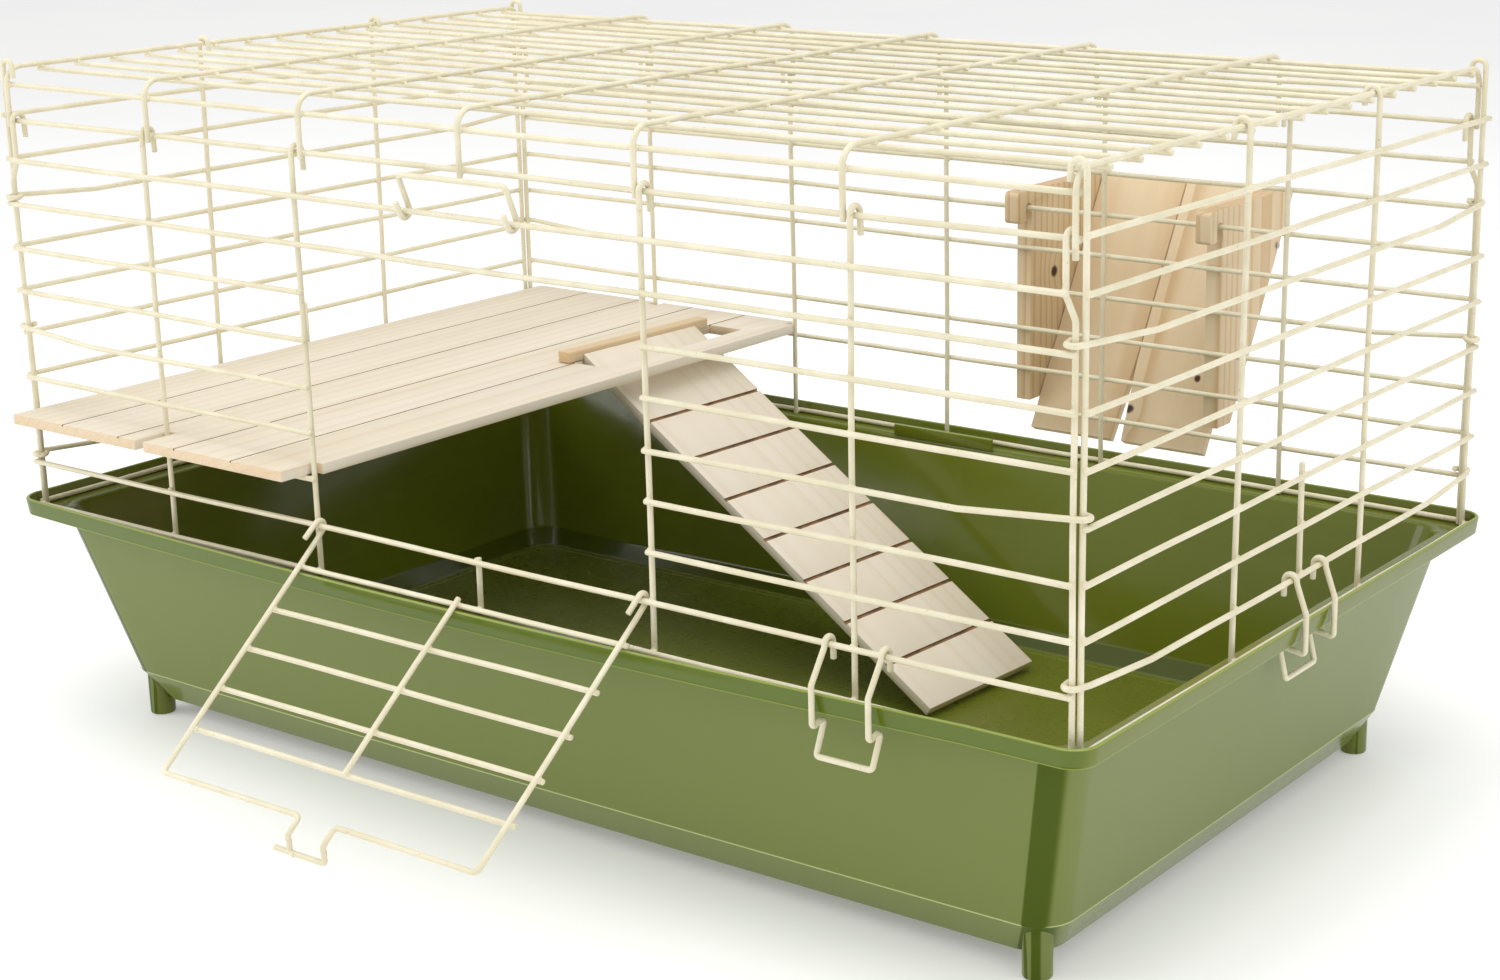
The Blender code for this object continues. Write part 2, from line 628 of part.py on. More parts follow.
def ramp_board(hinge):
    """Local X runs down the slope and local Z out of the walking face; the ends are cut upright and flat."""
    top_x = CLEAT_W + GAP
    rise = math.tan(RAMP_SLOPE)
    drop = RAMP_T / math.cos(RAMP_SLOPE)
    floor_z = FLOOR_TOP + RAMP_REST - CLEAT_CORNER.z
    end_x = top_x + (RAMP_TOP_Z - drop - floor_z) / rise
    tip_x = end_x + drop * math.sin(RAMP_SLOPE) * math.cos(RAMP_SLOPE)
    tip_z = RAMP_TOP_Z - (tip_x - top_x) * rise
    outline = [(top_x, RAMP_TOP_Z), (top_x, RAMP_TOP_Z - drop), (end_x, floor_z), (tip_x, tip_z)]
    length = (tip_x - top_x) / math.cos(RAMP_SLOPE)
    bm = bmesh.new()
    rows = []
    for y in (-RAMP_W / 2, RAMP_W / 2):
        rows.append([bm.verts.new((x, y, z)) for x, z in outline])
    for index in range(4):
        following = (index + 1) % 4
        bm.faces.new((rows[0][index], rows[0][following], rows[1][following], rows[1][index]))
    bm.faces.new(rows[0])
    bm.faces.new(rows[1])
    ramp = new_object("ramp_board", bm, "pale_wood")
    slope = Matrix.Rotation(RAMP_SLOPE, 4, "Y")
    for index in range(RAMP_GROOVES):
        s = length - RAMP_GROOVE_FIRST - index * RAMP_GROOVE_PITCH
        low = (s - GROOVE_W, -RAMP_W, -GROOVE_DEPTH)
        high = (s + GROOVE_W, RAMP_W, 0.01)
        cutter = box("groove", low, high, "pale_wood")
        cutter.matrix_world = Matrix.Translation((top_x, 0, RAMP_TOP_Z)) @ slope
        boolean(ramp, cutter, "DIFFERENCE")
    ramp.parent = hinge
    return ramp


def ramp_cleat(hinge):
    cleat = box("ramp_cleat", (0, -CLEAT_LENGTH / 2, 0), (CLEAT_W, CLEAT_LENGTH / 2, CLEAT_H), "pale_wood")
    cleat.parent = hinge
    return cleat


# ---- Hay rack -----------------------------------------------------------------------------------
def rack_outline(offset):
    """The line of the slats that far out from their inner face: its foot and its top, as (depth, height)."""
    foot = Vector((RACK_FRONT + 0.0005, RACK_SLAT_FOOT - LEVELS["C"]))
    top = Vector((RACK_DEPTH - RACK_SLAT_T / math.cos(math.radians(30.0)), RACK_TOP - 0.0015 - LEVELS["C"]))
    slope = (top - foot).normalized()
    out = Vector((slope.y, -slope.x)) * offset
    return foot + out, top + out


def rack_side(name, x):
    """A side board with a hook that drops over bar C of the back panel. Outline in (depth, height)."""
    foot, top = rack_outline(RACK_SLAT_T)
    tip_z = RACK_TIP - LEVELS["C"]
    top_z = RACK_TOP - LEVELS["C"]
    tip = foot + (top - foot) * ((tip_z - foot.y) / (top.y - foot.y))
    slot = 0.0038
    hook = -0.0125
    outline = [(RACK_FRONT, tip_z), (RACK_FRONT, -0.0110), (slot, -0.0080), (slot, -0.0010)]
    outline += [(0.0027, 0.0015), (0.0, 0.0023), (-0.0027, 0.0015)]
    outline += [(-slot, -0.0010), (-slot, -0.0070), (-slot - 0.0020, -0.0092), (hook + 0.0020, -0.0092)]
    outline += [(hook, -0.0070), (hook, top_z - 0.0030), (hook + 0.0030, top_z)]
    outline += [(top.x, top_z), tuple(top), tuple(tip)]
    return prism(name, outline, RACK_BOARD_T, "rack_wood", (x, BACK_Y + WELD, LEVELS["C"]), RACK_TURN)


def rack_slat(name, x_low, x_high):
    """One sloping slat between the side boards, reaching below their tips."""
    foot, top = rack_outline(0.0)
    foot_out, top_out = rack_outline(RACK_SLAT_T)
    outline = [tuple(foot), tuple(foot_out), tuple(top_out), tuple(top)]
    return prism(name, outline, x_high - x_low, "rack_wood", (x_low, BACK_Y + WELD, LEVELS["C"]), RACK_TURN)


def rack_brads():
    """Steel brads through the side boards into the edges of the slats, two on each side."""
    foot, top = rack_outline(RACK_SLAT_T / 2)
    for side, x in (("left", RACK_X[0]), ("right", RACK_X[1])):
        outward = -1 if side == "left" else 1
        for index, share in enumerate(BRAD_SHARES):
            place = foot + (top - foot) * share
            bm = bmesh.new()
            start = x + outward * GAP
            centre = Matrix.Translation((start + outward * BRAD_HEAD_T / 2, 0, 0))
            bmesh.ops.create_cone(
                bm, cap_ends=True, segments=12, radius1=BRAD_HEAD_R, radius2=BRAD_HEAD_R, depth=BRAD_HEAD_T,
                matrix=centre @ Matrix.Rotation(math.pi / 2, 4, "Y"),
            )
            location = (0, BACK_Y + WELD + place.x, LEVELS["C"] + place.y)
            new_object(f"rack_brad_{side}_{index + 1}", bm, "brad_steel", location)


def hay_rack():
    left, right = RACK_X
    inner = (left + RACK_BOARD_T + GAP, right - RACK_BOARD_T - GAP)
    middle = (inner[0] + inner[1]) / 2
    rack_side("rack_side_left", left)
    rack_side("rack_side_right", right - RACK_BOARD_T)
    rack_slat("rack_slat_left", inner[0], middle - GAP)
    rack_slat("rack_slat_right", middle + GAP, inner[1])
    rack_brads()


# ---- Assembly -----------------------------------------------------------------------------------
def main():
    clear_scene()
    base_pan()
    roof_panel()
    face_panel("front_panel", FRONT_X, True, (0, FRONT_Y, 0), (0, 0, 0))
    face_panel("back_panel", BACK_X, False, (0, BACK_Y, 0), (0, 0, math.pi))
    side_panel("left_panel", -1)
    side_panel("right_panel", 1)
    door()
    door_latch()
    rail_h = LEVELS["H"]
    side_bar_x = SIDE_X + WELD
    clip("front_clip", (CLIP_FRONT_X, FRONT_Y - WELD, rail_h), 0)
    clip("back_clip", (-CLIP_FRONT_X, BACK_Y + WELD, rail_h), math.pi)
    clip("right_clip", (side_bar_x, CLIP_SIDE_Y, rail_h), math.pi / 2)
    clip("left_clip", (-side_bar_x, CLIP_SIDE_Y, rail_h), -math.pi / 2)
    shelf_board()
    hinge = ramp_frame()
    ramp_board(hinge)
    ramp_cleat(hinge)
    hay_rack()


main()
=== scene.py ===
"""Looks for the wire rabbit cage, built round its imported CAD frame.

Round welded wires, a softly moulded pan, sawn wood, procedural materials and a plain studio.
Metres, +Z up, floor at z = 0. X runs along the front from left to right and Y from front to back.
"""

import math

import bmesh
import bpy
from mathutils import Matrix, Quaternion, Vector, geometry, noise


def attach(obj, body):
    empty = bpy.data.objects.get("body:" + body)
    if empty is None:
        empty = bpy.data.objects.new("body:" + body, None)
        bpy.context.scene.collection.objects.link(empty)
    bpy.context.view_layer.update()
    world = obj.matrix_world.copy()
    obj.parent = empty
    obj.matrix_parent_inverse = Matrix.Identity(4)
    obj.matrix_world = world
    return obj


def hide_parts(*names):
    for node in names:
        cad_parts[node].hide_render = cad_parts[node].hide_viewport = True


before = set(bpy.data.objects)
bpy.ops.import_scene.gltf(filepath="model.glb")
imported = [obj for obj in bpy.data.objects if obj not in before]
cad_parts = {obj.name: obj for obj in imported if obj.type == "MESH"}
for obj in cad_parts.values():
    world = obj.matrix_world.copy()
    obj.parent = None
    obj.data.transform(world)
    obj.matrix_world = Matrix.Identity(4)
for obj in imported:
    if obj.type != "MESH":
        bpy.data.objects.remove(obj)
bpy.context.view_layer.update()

# ---- Dimensions shared with the CAD ----
WIRE_R = 0.0015
WELD = 0.0027               # distance between the axes of two wires welded across each other
GAP = 0.0004
PITCH = 0.0254              # spacing of the horizontal bars
HALF_W = 0.35575            # half the width between the front's corner wires
FRONT_Y = -0.1955           # plane of the front's upright wires
DEPTH = 0.4220
BACK_Y = FRONT_Y + DEPTH
MIDDLE_Y = (FRONT_Y + BACK_Y) / 2
BAY = 2 * HALF_W / 6
FRONT_X = (-2 * BAY, -BAY, BAY - 0.0020, 2 * BAY)
BACK_X = (-2 * BAY - 0.0030, -BAY, -0.0046, BAY - 0.0016, 2 * BAY)
LEVEL_G = 0.1860
LEVELS = {name: LEVEL_G + PITCH * step for name, step in zip("HGFEDCBA", range(-1, 7))}
RAIL_Z = 0.1346
FLAP_Z = (0.3605, 0.3805)
ROOF_Z = 0.3905
ROOF_BEND_R = 0.0100
ROOF_EDGE_X = 0.3523
ROOF_CROSS_X = (0.0, 0.1130, 0.2330, ROOF_EDGE_X)
ROOF_INSET = 0.0010
LEG_FOOT_Z = 0.3570
ROOF_LONG_COUNT = 16
ROOF_LONG_PITCH = 0.0255
CORNER_TUCK = 0.0024
KINK_X = 0.3484
KINK_Z = (0.3266, 0.3372)
SIDE_X = 0.3562
SIDE_CORNER = 0.0028
SIDE_INNER_Y = {-1: (0.1425, 0.2845), 1: (0.1455, 0.2845)}
SIDE_TOP_BAR_Z = 0.3630
SIDE_STUB_Y = 0.2130
FACE_HOOK_TAIL = 0.0100
SIDE_HOOK_TAIL = 0.0060
TIE_RISE = 0.0040
TIE_FROM = 0.0600
TIE_BEND = 0.0060
TIE_R = 0.0036

LIP_OUT = 0.0098
LIP_TOP = 0.1395
LEDGE_TOP = 0.1325
FLOOR_TOP = 0.0180
FLOOR_UNDER = 0.0153
FLOOR_BORDER = 0.0006
BOW = 0.0117
BOW_X = (-0.3858, 0.3043)
RAIL_TAB_X = 0.0068
RAIL_TAB_HALF = 0.0375
RAIL_TAB_INSET = 0.0090
RAIL_TAB_T = 0.0022
LIP_LOW = 0.1295
LIP_UNDER = 0.1300
PAN_LOW = 0.0100
FOOT_R = 0.0075
FOOT_INSET = (0.0432, 0.0394)           # from the corner wires, along X and along Y
STEP_Z = 0.0290             # the step round the foot of the pan's walls
STEP_OUT = -0.0285
FOOT_CORE = 0.0060          # how far out from its axis a foot's upper end is cut back, inside the wall

DOOR_X = -0.0015
DOOR_HALF = 0.1095
DOOR_LOOP_HALF = 0.1130
DOOR_OPEN = math.radians(39.0)
DOOR_TOP = 0.1550
DOOR_BAR_Y = (0.0230, 2 * PITCH, 3 * PITCH, 4 * PITCH, 5 * PITCH)
DOOR_CENTRE_FROM = 0.0200
DOOR_CENTRE_X = 0.0018
TAB_NECK_X = (-0.0155, 0.0090)
TAB_TIP_X = 0.0200
TAB_BEND = 0.1670
TAB_END = 0.1712
TAB_CRANK = 0.0075
DOOR_LOOP_R = 0.0034
DOOR_Z = -0.0036
DOOR_TAIL = 0.0110
HINGE_Y = FRONT_Y - WELD
NUB = 0.0030
BAR_BEYOND = 0.0018         # how far a bar runs past its corner wire
LATCH_HALF = 0.0365
LATCH_REACH = 0.0188
LATCH_LEAN = math.radians(21.0)
LATCH_TAIL = 0.0070
LATCH_X = 0.00075
CLIP_HALF = 0.0160
CLIP_LOOP_R = 0.0034
CLIP_TAIL = 0.0085
CLIP_LOW_Z = -0.0372
CLIP_GRIP_Z = -0.0346
CLIP_HANDLE_Z = -0.0520
FRONT_CLIP = (0.0142, 0.0038, 0.0115)   # how far outside bar H the arms, the grip and the handle are
OTHER_CLIP = (0.0091, -0.0052, -0.0010)
CLIP_FRONT_X = 0.24025
CLIP_SIDE_Y = FRONT_Y + 0.2150

SHELF_X = (-0.3477, -0.1157)
SHELF_Y = (FRONT_Y - 0.0200, BACK_Y + 0.0045)
SHELF_Z = (LEVEL_G + 0.0019, LEVEL_G + 0.0077)
SLOT_X = (-0.1625, -0.1350)
SLOT_Y = (FRONT_Y + 0.2560, FRONT_Y + 0.3880)
SHELF_SCORES = (-0.3032, -0.2547, -0.2077, -0.1617)
SCORE_W = 0.0011
SCORE_DEPTH = 0.0012

RAMP_YAW = math.radians(-3.2)
RAMP_SLOPE = math.radians(32.6)
RAMP_W = 0.1020
RAMP_T = 0.0058
RAMP_TOP_Z = 0.0040
RAMP_REST = 0.0018
RAMP_GROOVES = 7
RAMP_GROOVE_PITCH = 0.0366
RAMP_GROOVE_FIRST = 0.0373
RAMP_GROOVE_W = 0.0022
RAMP_GROOVE_DEPTH = 0.0014
CLEAT_W = 0.0090
CLEAT_H = 0.0070
CLEAT_LENGTH = 0.1280
CLEAT_CORNER = Vector((-0.1680, FRONT_Y + 0.3150, SHELF_Z[1] + GAP))

RACK_X = (0.0540, 0.1960)
RACK_BOARD_T = 0.0100
RACK_TOP = 0.2980
RACK_TIP = 0.1650
RACK_DEPTH = 0.0950
RACK_SLAT_T = 0.0060
RACK_SLAT_FOOT = 0.1480
RACK_SPLAY = 0.30           # share of a slat's length over which it splays
RACK_FRONT = WIRE_R + 0.0006
RACK_SLOPE = math.radians(30.0)         # of the slats, from the vertical

# ---- Fineness and wear ----
WIRE_SIDES = 14
BEND_STEPS = 8
WIRE_END_SOFT = 0.0004
WIRE_END = ((0.72, 0.0), (0.91, 0.3), (1.0, 1.0))       # shares of the radius and of that length
STRAIN_STEP = 0.0250        # long wires are divided this often
STRAIN = 0.0007             # and wander about a third of this from a straight line
BEAD_R = 0.0021
BEAD_T = 0.0011
CORNER_STEPS = 20
FRONT_STEPS = 72
SIDE_STEPS = 12
SOFTEN_STEPS = 5
FOOT_SIDES = 40
SLOT_STEPS = 10
WOOD_ARRIS = 0.0005
RING_SCALE = 0.314          # wave texture scale of growth rings one metre apart

# The floor is a lit table, so it photographs as pure white.
FLOOR_GLOW = 0.22
SKY_STRENGTH = 0.70
SOFTBOXES = (               # name, place, point aimed at, size, power in watts
    ("top_box", (0.2, -0.3, 2.4), (0.0, 0.0, 0.2), (2.4, 2.0), 30.0),
    ("left_box", (-2.2, -1.8, 1.3), (0.0, 0.0, 0.2), (1.6, 1.6), 18.0),
    ("right_box", (2.4, -0.4, 1.2), (0.1, 0.0, 0.2), (1.4, 1.6), 7.5),
)

# ---- Camera ----
CAMERA_AT = Vector((0.8919, -1.0920, 0.5526))
CAMERA_AZIMUTH = math.radians(35.496)
CAMERA_DOWN = math.radians(15.505)
CAMERA_ROLL = math.radians(-0.575)
SENSOR = 0.036
LENS = 0.061393
SHIFT = (-0.0868, -0.0132)


# ---- Mesh helpers ----
def linked(name, data, matrix=None):
    """A new object in the scene that shows the mesh, light or camera."""
    obj = bpy.data.objects.new(name, data)
    if matrix is not None:
        obj.matrix_world = matrix
    bpy.context.scene.collection.objects.link(obj)
    return obj


def shown(name, bm, finish, matrix=None):
    mesh = bpy.data.meshes.new(name)
    bm.to_mesh(mesh)
    bm.free()
    mesh.materials.append(finish)
    return linked(name, mesh, matrix)


def smoothed(obj, sharp_at):
    obj.data.polygons.foreach_set("use_smooth", [True] * len(obj.data.polygons))
    obj.data.set_sharp_from_angle(angle=math.radians(sharp_at))


def finished(name, bm, finish, body, nodes, sharp_at=35.0):
    """A piece made from the mesh, smooth up to the angle, that rides on its body and stands for its nodes."""
    obj = shown(name, bm, finish)
    smoothed(obj, sharp_at)
    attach(obj, body)
    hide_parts(*nodes)
    return obj


def arc(centre, start, end, steps=BEND_STEPS):
    """Points on the circle from start to end about the centre, given as offsets from it."""
    start, end = Vector(start), Vector(end)
    axis, angle = start.rotation_difference(end).to_axis_angle()
    return [Vector(centre) + Quaternion(axis, angle * step / steps) @ start for step in range(steps + 1)]


def rounded(points, radius, steps=BEND_STEPS):
    """The polyline with each inner corner replaced by an arc of the given radius."""
    path = [Vector(points[0])]
    for before, corner, after in zip(points, points[1:], points[2:]):
        corner = Vector(corner)
        to_before = (Vector(before) - corner).normalized()
        to_after = (Vector(after) - corner).normalized()
        half = to_before.angle(to_after) / 2
        reach = radius / math.tan(half)
        centre = corner + (to_before + to_after).normalized() * (radius / math.sin(half))
        path += arc(centre, corner + to_before * reach - centre, corner + to_after * reach - centre, steps)
    path.append(Vector(points[-1]))
    return path


def strained(path, seed):
    """The path with long straight runs divided, wandering a little as wire does between its welds."""
    made = [path[0]]
    for start, end in zip(path, path[1:]):
        steps = max(1, round((end - start).length / STRAIN_STEP))
        made += [start.lerp(end, step / steps) for step in range(1, steps + 1)]
    shift = Vector((seed * 1.7, seed * 0.9, seed * 2.3))
    return [point + noise.noise_vector(point * 9.0 + shift) * STRAIN for point in made]


def joined(bm, rings, turned=False):
    """Closes a run of vertex rings: faces from each to the next and a cap on both ends."""
    for ring, following in zip(rings, rings[1:]):
        for index, vert in enumerate(ring):
            beside = (index + 1) % len(ring)
            bm.faces.new((vert, ring[beside], following[beside], following[index]))
    bm.faces.new(rings[0][::-1] if turned else rings[0])
    bm.faces.new(rings[-1])


def tube(bm, path):
    """Adds one closed round wire along the path, with softened ends."""
    first = (path[1] - path[0]).normalized()
    last = (path[-2] - path[-1]).normalized()
    ends = [(WIRE_R * share, WIRE_END_SOFT * back) for share, back in WIRE_END]
    stations = [(path[0] + first * back, size) for size, back in ends]
    stations += [(point, WIRE_R) for point in path[1:-1]]
    stations += [(path[-1] + last * back, size) for size, back in reversed(ends)]
    points = [point for point, _ in stations]
    across = first.orthogonal().normalized()
    turns = [math.tau * corner / WIRE_SIDES for corner in range(WIRE_SIDES)]
    rings = []
    for index, (point, size) in enumerate(stations):
        tangent = (points[min(index + 1, len(points) - 1)] - points[max(index - 1, 0)]).normalized()
        across = (across - tangent * tangent.dot(across)).normalized()
        side = tangent.cross(across)
        round_it = [across * math.cos(turn) + side * math.sin(turn) for turn in turns]
        rings.append([bm.verts.new(point + out * size) for out in round_it])
    joined(bm, rings, True)


def crossing(first, second):
    """The nearest points of two straight stretches, where they touch each other, or None."""
    found = geometry.intersect_line_line(*first, *second)
    if not found or (found[0] - found[1]).length > WELD + 0.0003:
        return None
    for point, (start, end) in zip(found, (first, second)):
        along = (point - start).dot(end - start) / (end - start).length
        if not -WIRE_R < along < (end - start).length + WIRE_R:
            return None
    return found


def bead(bm, first, second):
    """The flattened swelling where two crossing wires are welded and coated over."""
    normal = (second - first).normalized()
    if normal.length < 0.5:
        return
    turn = normal.to_track_quat("Z", "Y").to_matrix().to_4x4()
    matrix = Matrix.Translation((first + second) / 2) @ turn @ Matrix.Diagonal((BEAD_R, BEAD_R, BEAD_T, 1.0))
    bmesh.ops.create_icosphere(bm, subdivisions=2, radius=1.0, matrix=matrix)


def wirework(name, body, node, bars, posts, matrix=None):
    """One piece of round wires, with a bead wherever a bar crosses a post."""
    bm = bmesh.new()
    bars = [[Vector(point) for point in path] for path in bars]
    posts = [[Vector(point) for point in path] for path in posts]
    for index, path in enumerate(bars + posts):
        tube(bm, strained(path, index))
    for across in bars:
        for along in posts:
            for first in zip(across, across[1:]):
                for second in zip(along, along[1:]):
                    found = crossing(first, second)
                    if found:
                        bead(bm, *found)
    bmesh.ops.transform(bm, matrix=matrix or Matrix(), verts=bm.verts)
    piece = finished(name, bm, WIRE_COAT, body, [node])
    return piece


# ---- Wire panels ----
# Panels are built in a local frame: X along the panel, Z up, +Y towards the inside of the cage.
def placed(location, turn):
    return Matrix.Translation(location) @ Matrix.Rotation(turn, 4, "Z")


def hooked_upright(foot, top_centre, offset, tail):
    """An upright wire that rises to a hook over the bar at top_centre, with its tail inside."""
    over = arc(top_centre, (0, -offset, 0), (0, 0, offset))
    over += arc(top_centre, (0, 0, offset), (0, offset, 0))[1:]
    end = over[-1] + Vector((0, 0.0004, -tail))
    return [Vector(point) for point in foot] + over + [end]


def corner_upright(side, offset, foot_z):
    low = side * (HALF_W - CORNER_TUCK)
    high = side * KINK_X
    top = Vector((high, offset, FLAP_Z[0]))
    kinked = [(low, 0, foot_z), (low, 0, KINK_Z[0]), (high, 0, KINK_Z[1]), (high, 0, top.z - 0.0010)]
    return hooked_upright(rounded(kinked, 0.0060, 5), top, offset, FACE_HOOK_TAIL)


def bar(x_from, x_to, z):
    return [(x_from, -WELD, z), (x_to, -WELD, z)]


def tied_end(side, half, z, post):
    """One end of a bar, which rises and wraps round the neighbouring panel's corner wire."""
    centre = Vector((side * post[0], post[1], z + TIE_RISE))
    start = Vector((side * (half - TIE_FROM), -WELD, z))
    bend = Vector((side * (half - TIE_BEND), -WELD, z + TIE_RISE))
    wrap = arc(centre, (0, -TIE_R, 0), (side * TIE_R, 0, 0))
    wrap += arc(centre, (side * TIE_R, 0, 0), (0, TIE_R, 0))[1:]
    curl = arc(centre, (0, TIE_R, 0), (-side * TIE_R, 0, 0))[1:5]
    rising = [point + Vector((0, 0, 0.0003 * (step + 1))) for step, point in enumerate(curl)]
    return [start, bend] + wrap + rising


def tied_bar(half, z, post):
    return tied_end(-1, half, z, post)[::-1] + tied_end(1, half, z, post)


def face_panel(name, node, uprights, doorway, matrix):
    """The front or back panel, hooked over the roof's lower flap bar."""
    offset = ROOF_INSET + WELD
    foot_z = RAIL_Z - WIRE_R
    posts = []
    for x in uprights:
        posts.append(hooked_upright([(x, 0, foot_z)], (x, offset, FLAP_Z[0]), offset, FACE_HOOK_TAIL))
    posts += [corner_upright(side, offset, foot_z) for side in (-1, 1)]
    edge = HALF_W - CORNER_TUCK + BAR_BEYOND
    neighbour = (SIDE_X, SIDE_CORNER)
    bars = [bar(-edge, edge, RAIL_Z)]
    for level, z in LEVELS.items():
        if level == "E":
            continue
        half = KINK_X + BAR_BEYOND if level == "A" else edge
        if doorway and level in "GFDC":
            bars.append(bar(-half, -BAY + NUB, z))
            bars.append(bar(BAY - NUB, half, z))
        else:
            bars.append(bar(-half, half, z))
    if doorway:
        z = LEVELS["E"]
        bars.append(tied_end(-1, HALF_W, z, neighbour)[::-1] + [(-BAY + NUB, -WELD, z)])
        bars.append([(BAY - NUB, -WELD, z)] + tied_end(1, HALF_W, z, neighbour))
        posts.append([(0, 0, foot_z), (0, 0, LEVELS["H"] + WIRE_R)])
    else:
        bars.append(tied_bar(HALF_W, LEVELS["E"], neighbour))
    return wirework(name, "cage", node, bars, posts, matrix)


def side_panel(name, node, side):
    """A side panel, hooked over the roof's edge wire. Local X runs along the cage's depth."""
    offset = SIDE_X - ROOF_EDGE_X
    foot_z = RAIL_Z - WIRE_R
    stations = [(SIDE_CORNER, SIDE_CORNER), (DEPTH - SIDE_CORNER, DEPTH - SIDE_CORNER)]
    stations += [(y - 0.0022, y + 0.0014) for y in SIDE_INNER_Y[side]]
    posts = []
    for low, high in stations:
        x_low = (FRONT_Y + low - MIDDLE_Y) * side
        x_high = (FRONT_Y + high - MIDDLE_Y) * side
        posts.append(hooked_upright([(x_low, 0, foot_z)], (x_high, offset, ROOF_Z), offset, SIDE_HOOK_TAIL))
    stub = (FRONT_Y + SIDE_STUB_Y - MIDDLE_Y) * side
    posts.append([(stub, 0, LEVELS["H"] - WIRE_R), (stub, 0, LEVELS["F"] + 0.0060)])
    half = DEPTH / 2
    edge = half - SIDE_CORNER + BAR_BEYOND
    neighbour = (half, SIDE_X - HALF_W + CORNER_TUCK)
    bars = [bar(-edge, edge, RAIL_Z), bar(-edge, edge, SIDE_TOP_BAR_Z)]
    for level, z in LEVELS.items():
        bars.append(tied_bar(half, z, neighbour) if level in "BH" else bar(-edge, edge, z))
    return wirework(name, "cage", node, bars, posts, placed((side * SIDE_X, MIDDLE_Y, 0), side * math.pi / 2))


def roof_panel():
    low = FRONT_Y + ROOF_INSET
    high = BACK_Y - ROOF_INSET
    cross = []
    for x in sorted({sign * x for x in ROOF_CROSS_X for sign in (-1, 1)}):
        outline = [(x, low, LEG_FOOT_Z), (x, low, ROOF_Z), (x, high, ROOF_Z), (x, high, LEG_FOOT_Z)]
        cross.append(rounded(outline, ROOF_BEND_R))
    rows = [(FRONT_Y + (index + 1) * ROOF_LONG_PITCH, ROOF_Z - WELD, 0.0028) for index in range(ROOF_LONG_COUNT)]
    rows += [(y, z, 0.0014) for y in (low + WELD, high - WELD) for z in FLAP_Z]
    long_wires = [[(-ROOF_EDGE_X - over, y, z), (ROOF_EDGE_X + over, y, z)] for y, z, over in rows]
    wirework("roof_wires", "cage", "roof_panel", long_wires, cross)


# ---- Door, latch and clips ----
def eye(x, from_angle, to_angle, radius, steps=18):
    """Part of a wire loop round the local X axis; angles are measured from +Y towards +Z."""
    angles = [math.radians(from_angle + (to_angle - from_angle) * step / steps) for step in range(steps + 1)]
    return [Vector((x, radius * math.cos(angle), radius * math.sin(angle))) for angle in angles]


def door_half(y):
    """Half the width between the door's two side wires, that far from the hinge."""
    return DOOR_LOOP_HALF + (DOOR_HALF - DOOR_LOOP_HALF) * y / DOOR_TOP


def door():
    """Built with local +Y along the door, away from its hinge, and +Z on its inner face."""
    left = door_side(-1) + door_rim(-1, TAB_NECK_X[0])[:-1]
    right = door_side(1) + door_rim(1, TAB_NECK_X[1])[:-1]
    out = DOOR_Z - TAB_CRANK
    left += rounded([left[-1], (TAB_NECK_X[0], TAB_END, out), (TAB_TIP_X, TAB_END, out)], 0.0016)[1:]
    turned_in = [right[-1], (TAB_NECK_X[1], TAB_END, out), (TAB_NECK_X[1] - 0.0040, TAB_END + 0.0008, out)]
    right += rounded(turned_in, 0.0014)[1:]
    centre = [(-DOOR_CENTRE_X, DOOR_CENTRE_FROM, DOOR_Z), (-DOOR_CENTRE_X, DOOR_BAR_Y[-1] + WIRE_R, DOOR_Z)]
    cross = []
    for y in DOOR_BAR_Y:
        reach = door_half(y) + 0.0026
        cross.append([(-reach, y, DOOR_Z - WELD), (reach, y, DOOR_Z - WELD)])
    turn = Matrix.Rotation(math.pi, 4, "Z") @ Matrix.Rotation(-DOOR_OPEN, 4, "X")
    matrix = Matrix.Translation((DOOR_X, HINGE_Y, LEVELS["H"])) @ turn
    return wirework("door_wires", "door", "door", cross, [left, right, centre], matrix)


def door_side(side):
    """The tail above bar H and the open loop round it, which ends under the bar."""
    x = side * DOOR_LOOP_HALF
    tail = Vector((x, DOOR_TAIL, DOOR_LOOP_R + 0.0002))
    return [tail] + eye(x, 90, 255, DOOR_LOOP_R)


def door_rim(side, neck_x):
    """The door's side, its share of the top edge, and the pull tab's neck, which cranks outward."""
    start_y = 0.0060
    outline = [
        (side * door_half(start_y), start_y, DOOR_Z), (side * DOOR_HALF, DOOR_TOP, DOOR_Z),
        (neck_x, DOOR_TOP, DOOR_Z), (neck_x, TAB_BEND, DOOR_Z),
        (neck_x, TAB_BEND + 0.0006, DOOR_Z - TAB_CRANK + 0.0030),
    ]
    return rounded(outline, 0.0030)


def door_latch():
    """A wire bail whose ends loop under bar A above the doorway; local Z runs up the bail."""
    loop_r = DOOR_LOOP_R
    ends = []
    for side in (-1, 1):
        x = side * LATCH_HALF
        ends.append([Vector((x, -loop_r - 0.0003, LATCH_TAIL))] + eye(x, 180, 360, loop_r))
    bail = [(-LATCH_HALF, loop_r, 0.0010), (-LATCH_HALF, loop_r, LATCH_REACH)]
    bail += [(LATCH_HALF, loop_r, LATCH_REACH), (LATCH_HALF, loop_r, 0.0010)]
    path = ends[0][:-1] + rounded(bail, 0.0032) + ends[1][:-1][::-1]
    matrix = Matrix.Translation((LATCH_X, HINGE_Y, LEVELS["A"])) @ Matrix.Rotation(LATCH_LEAN, 4, "X")
    return wirework("latch_bail", "door_latch", "door_latch", [path], [], matrix)


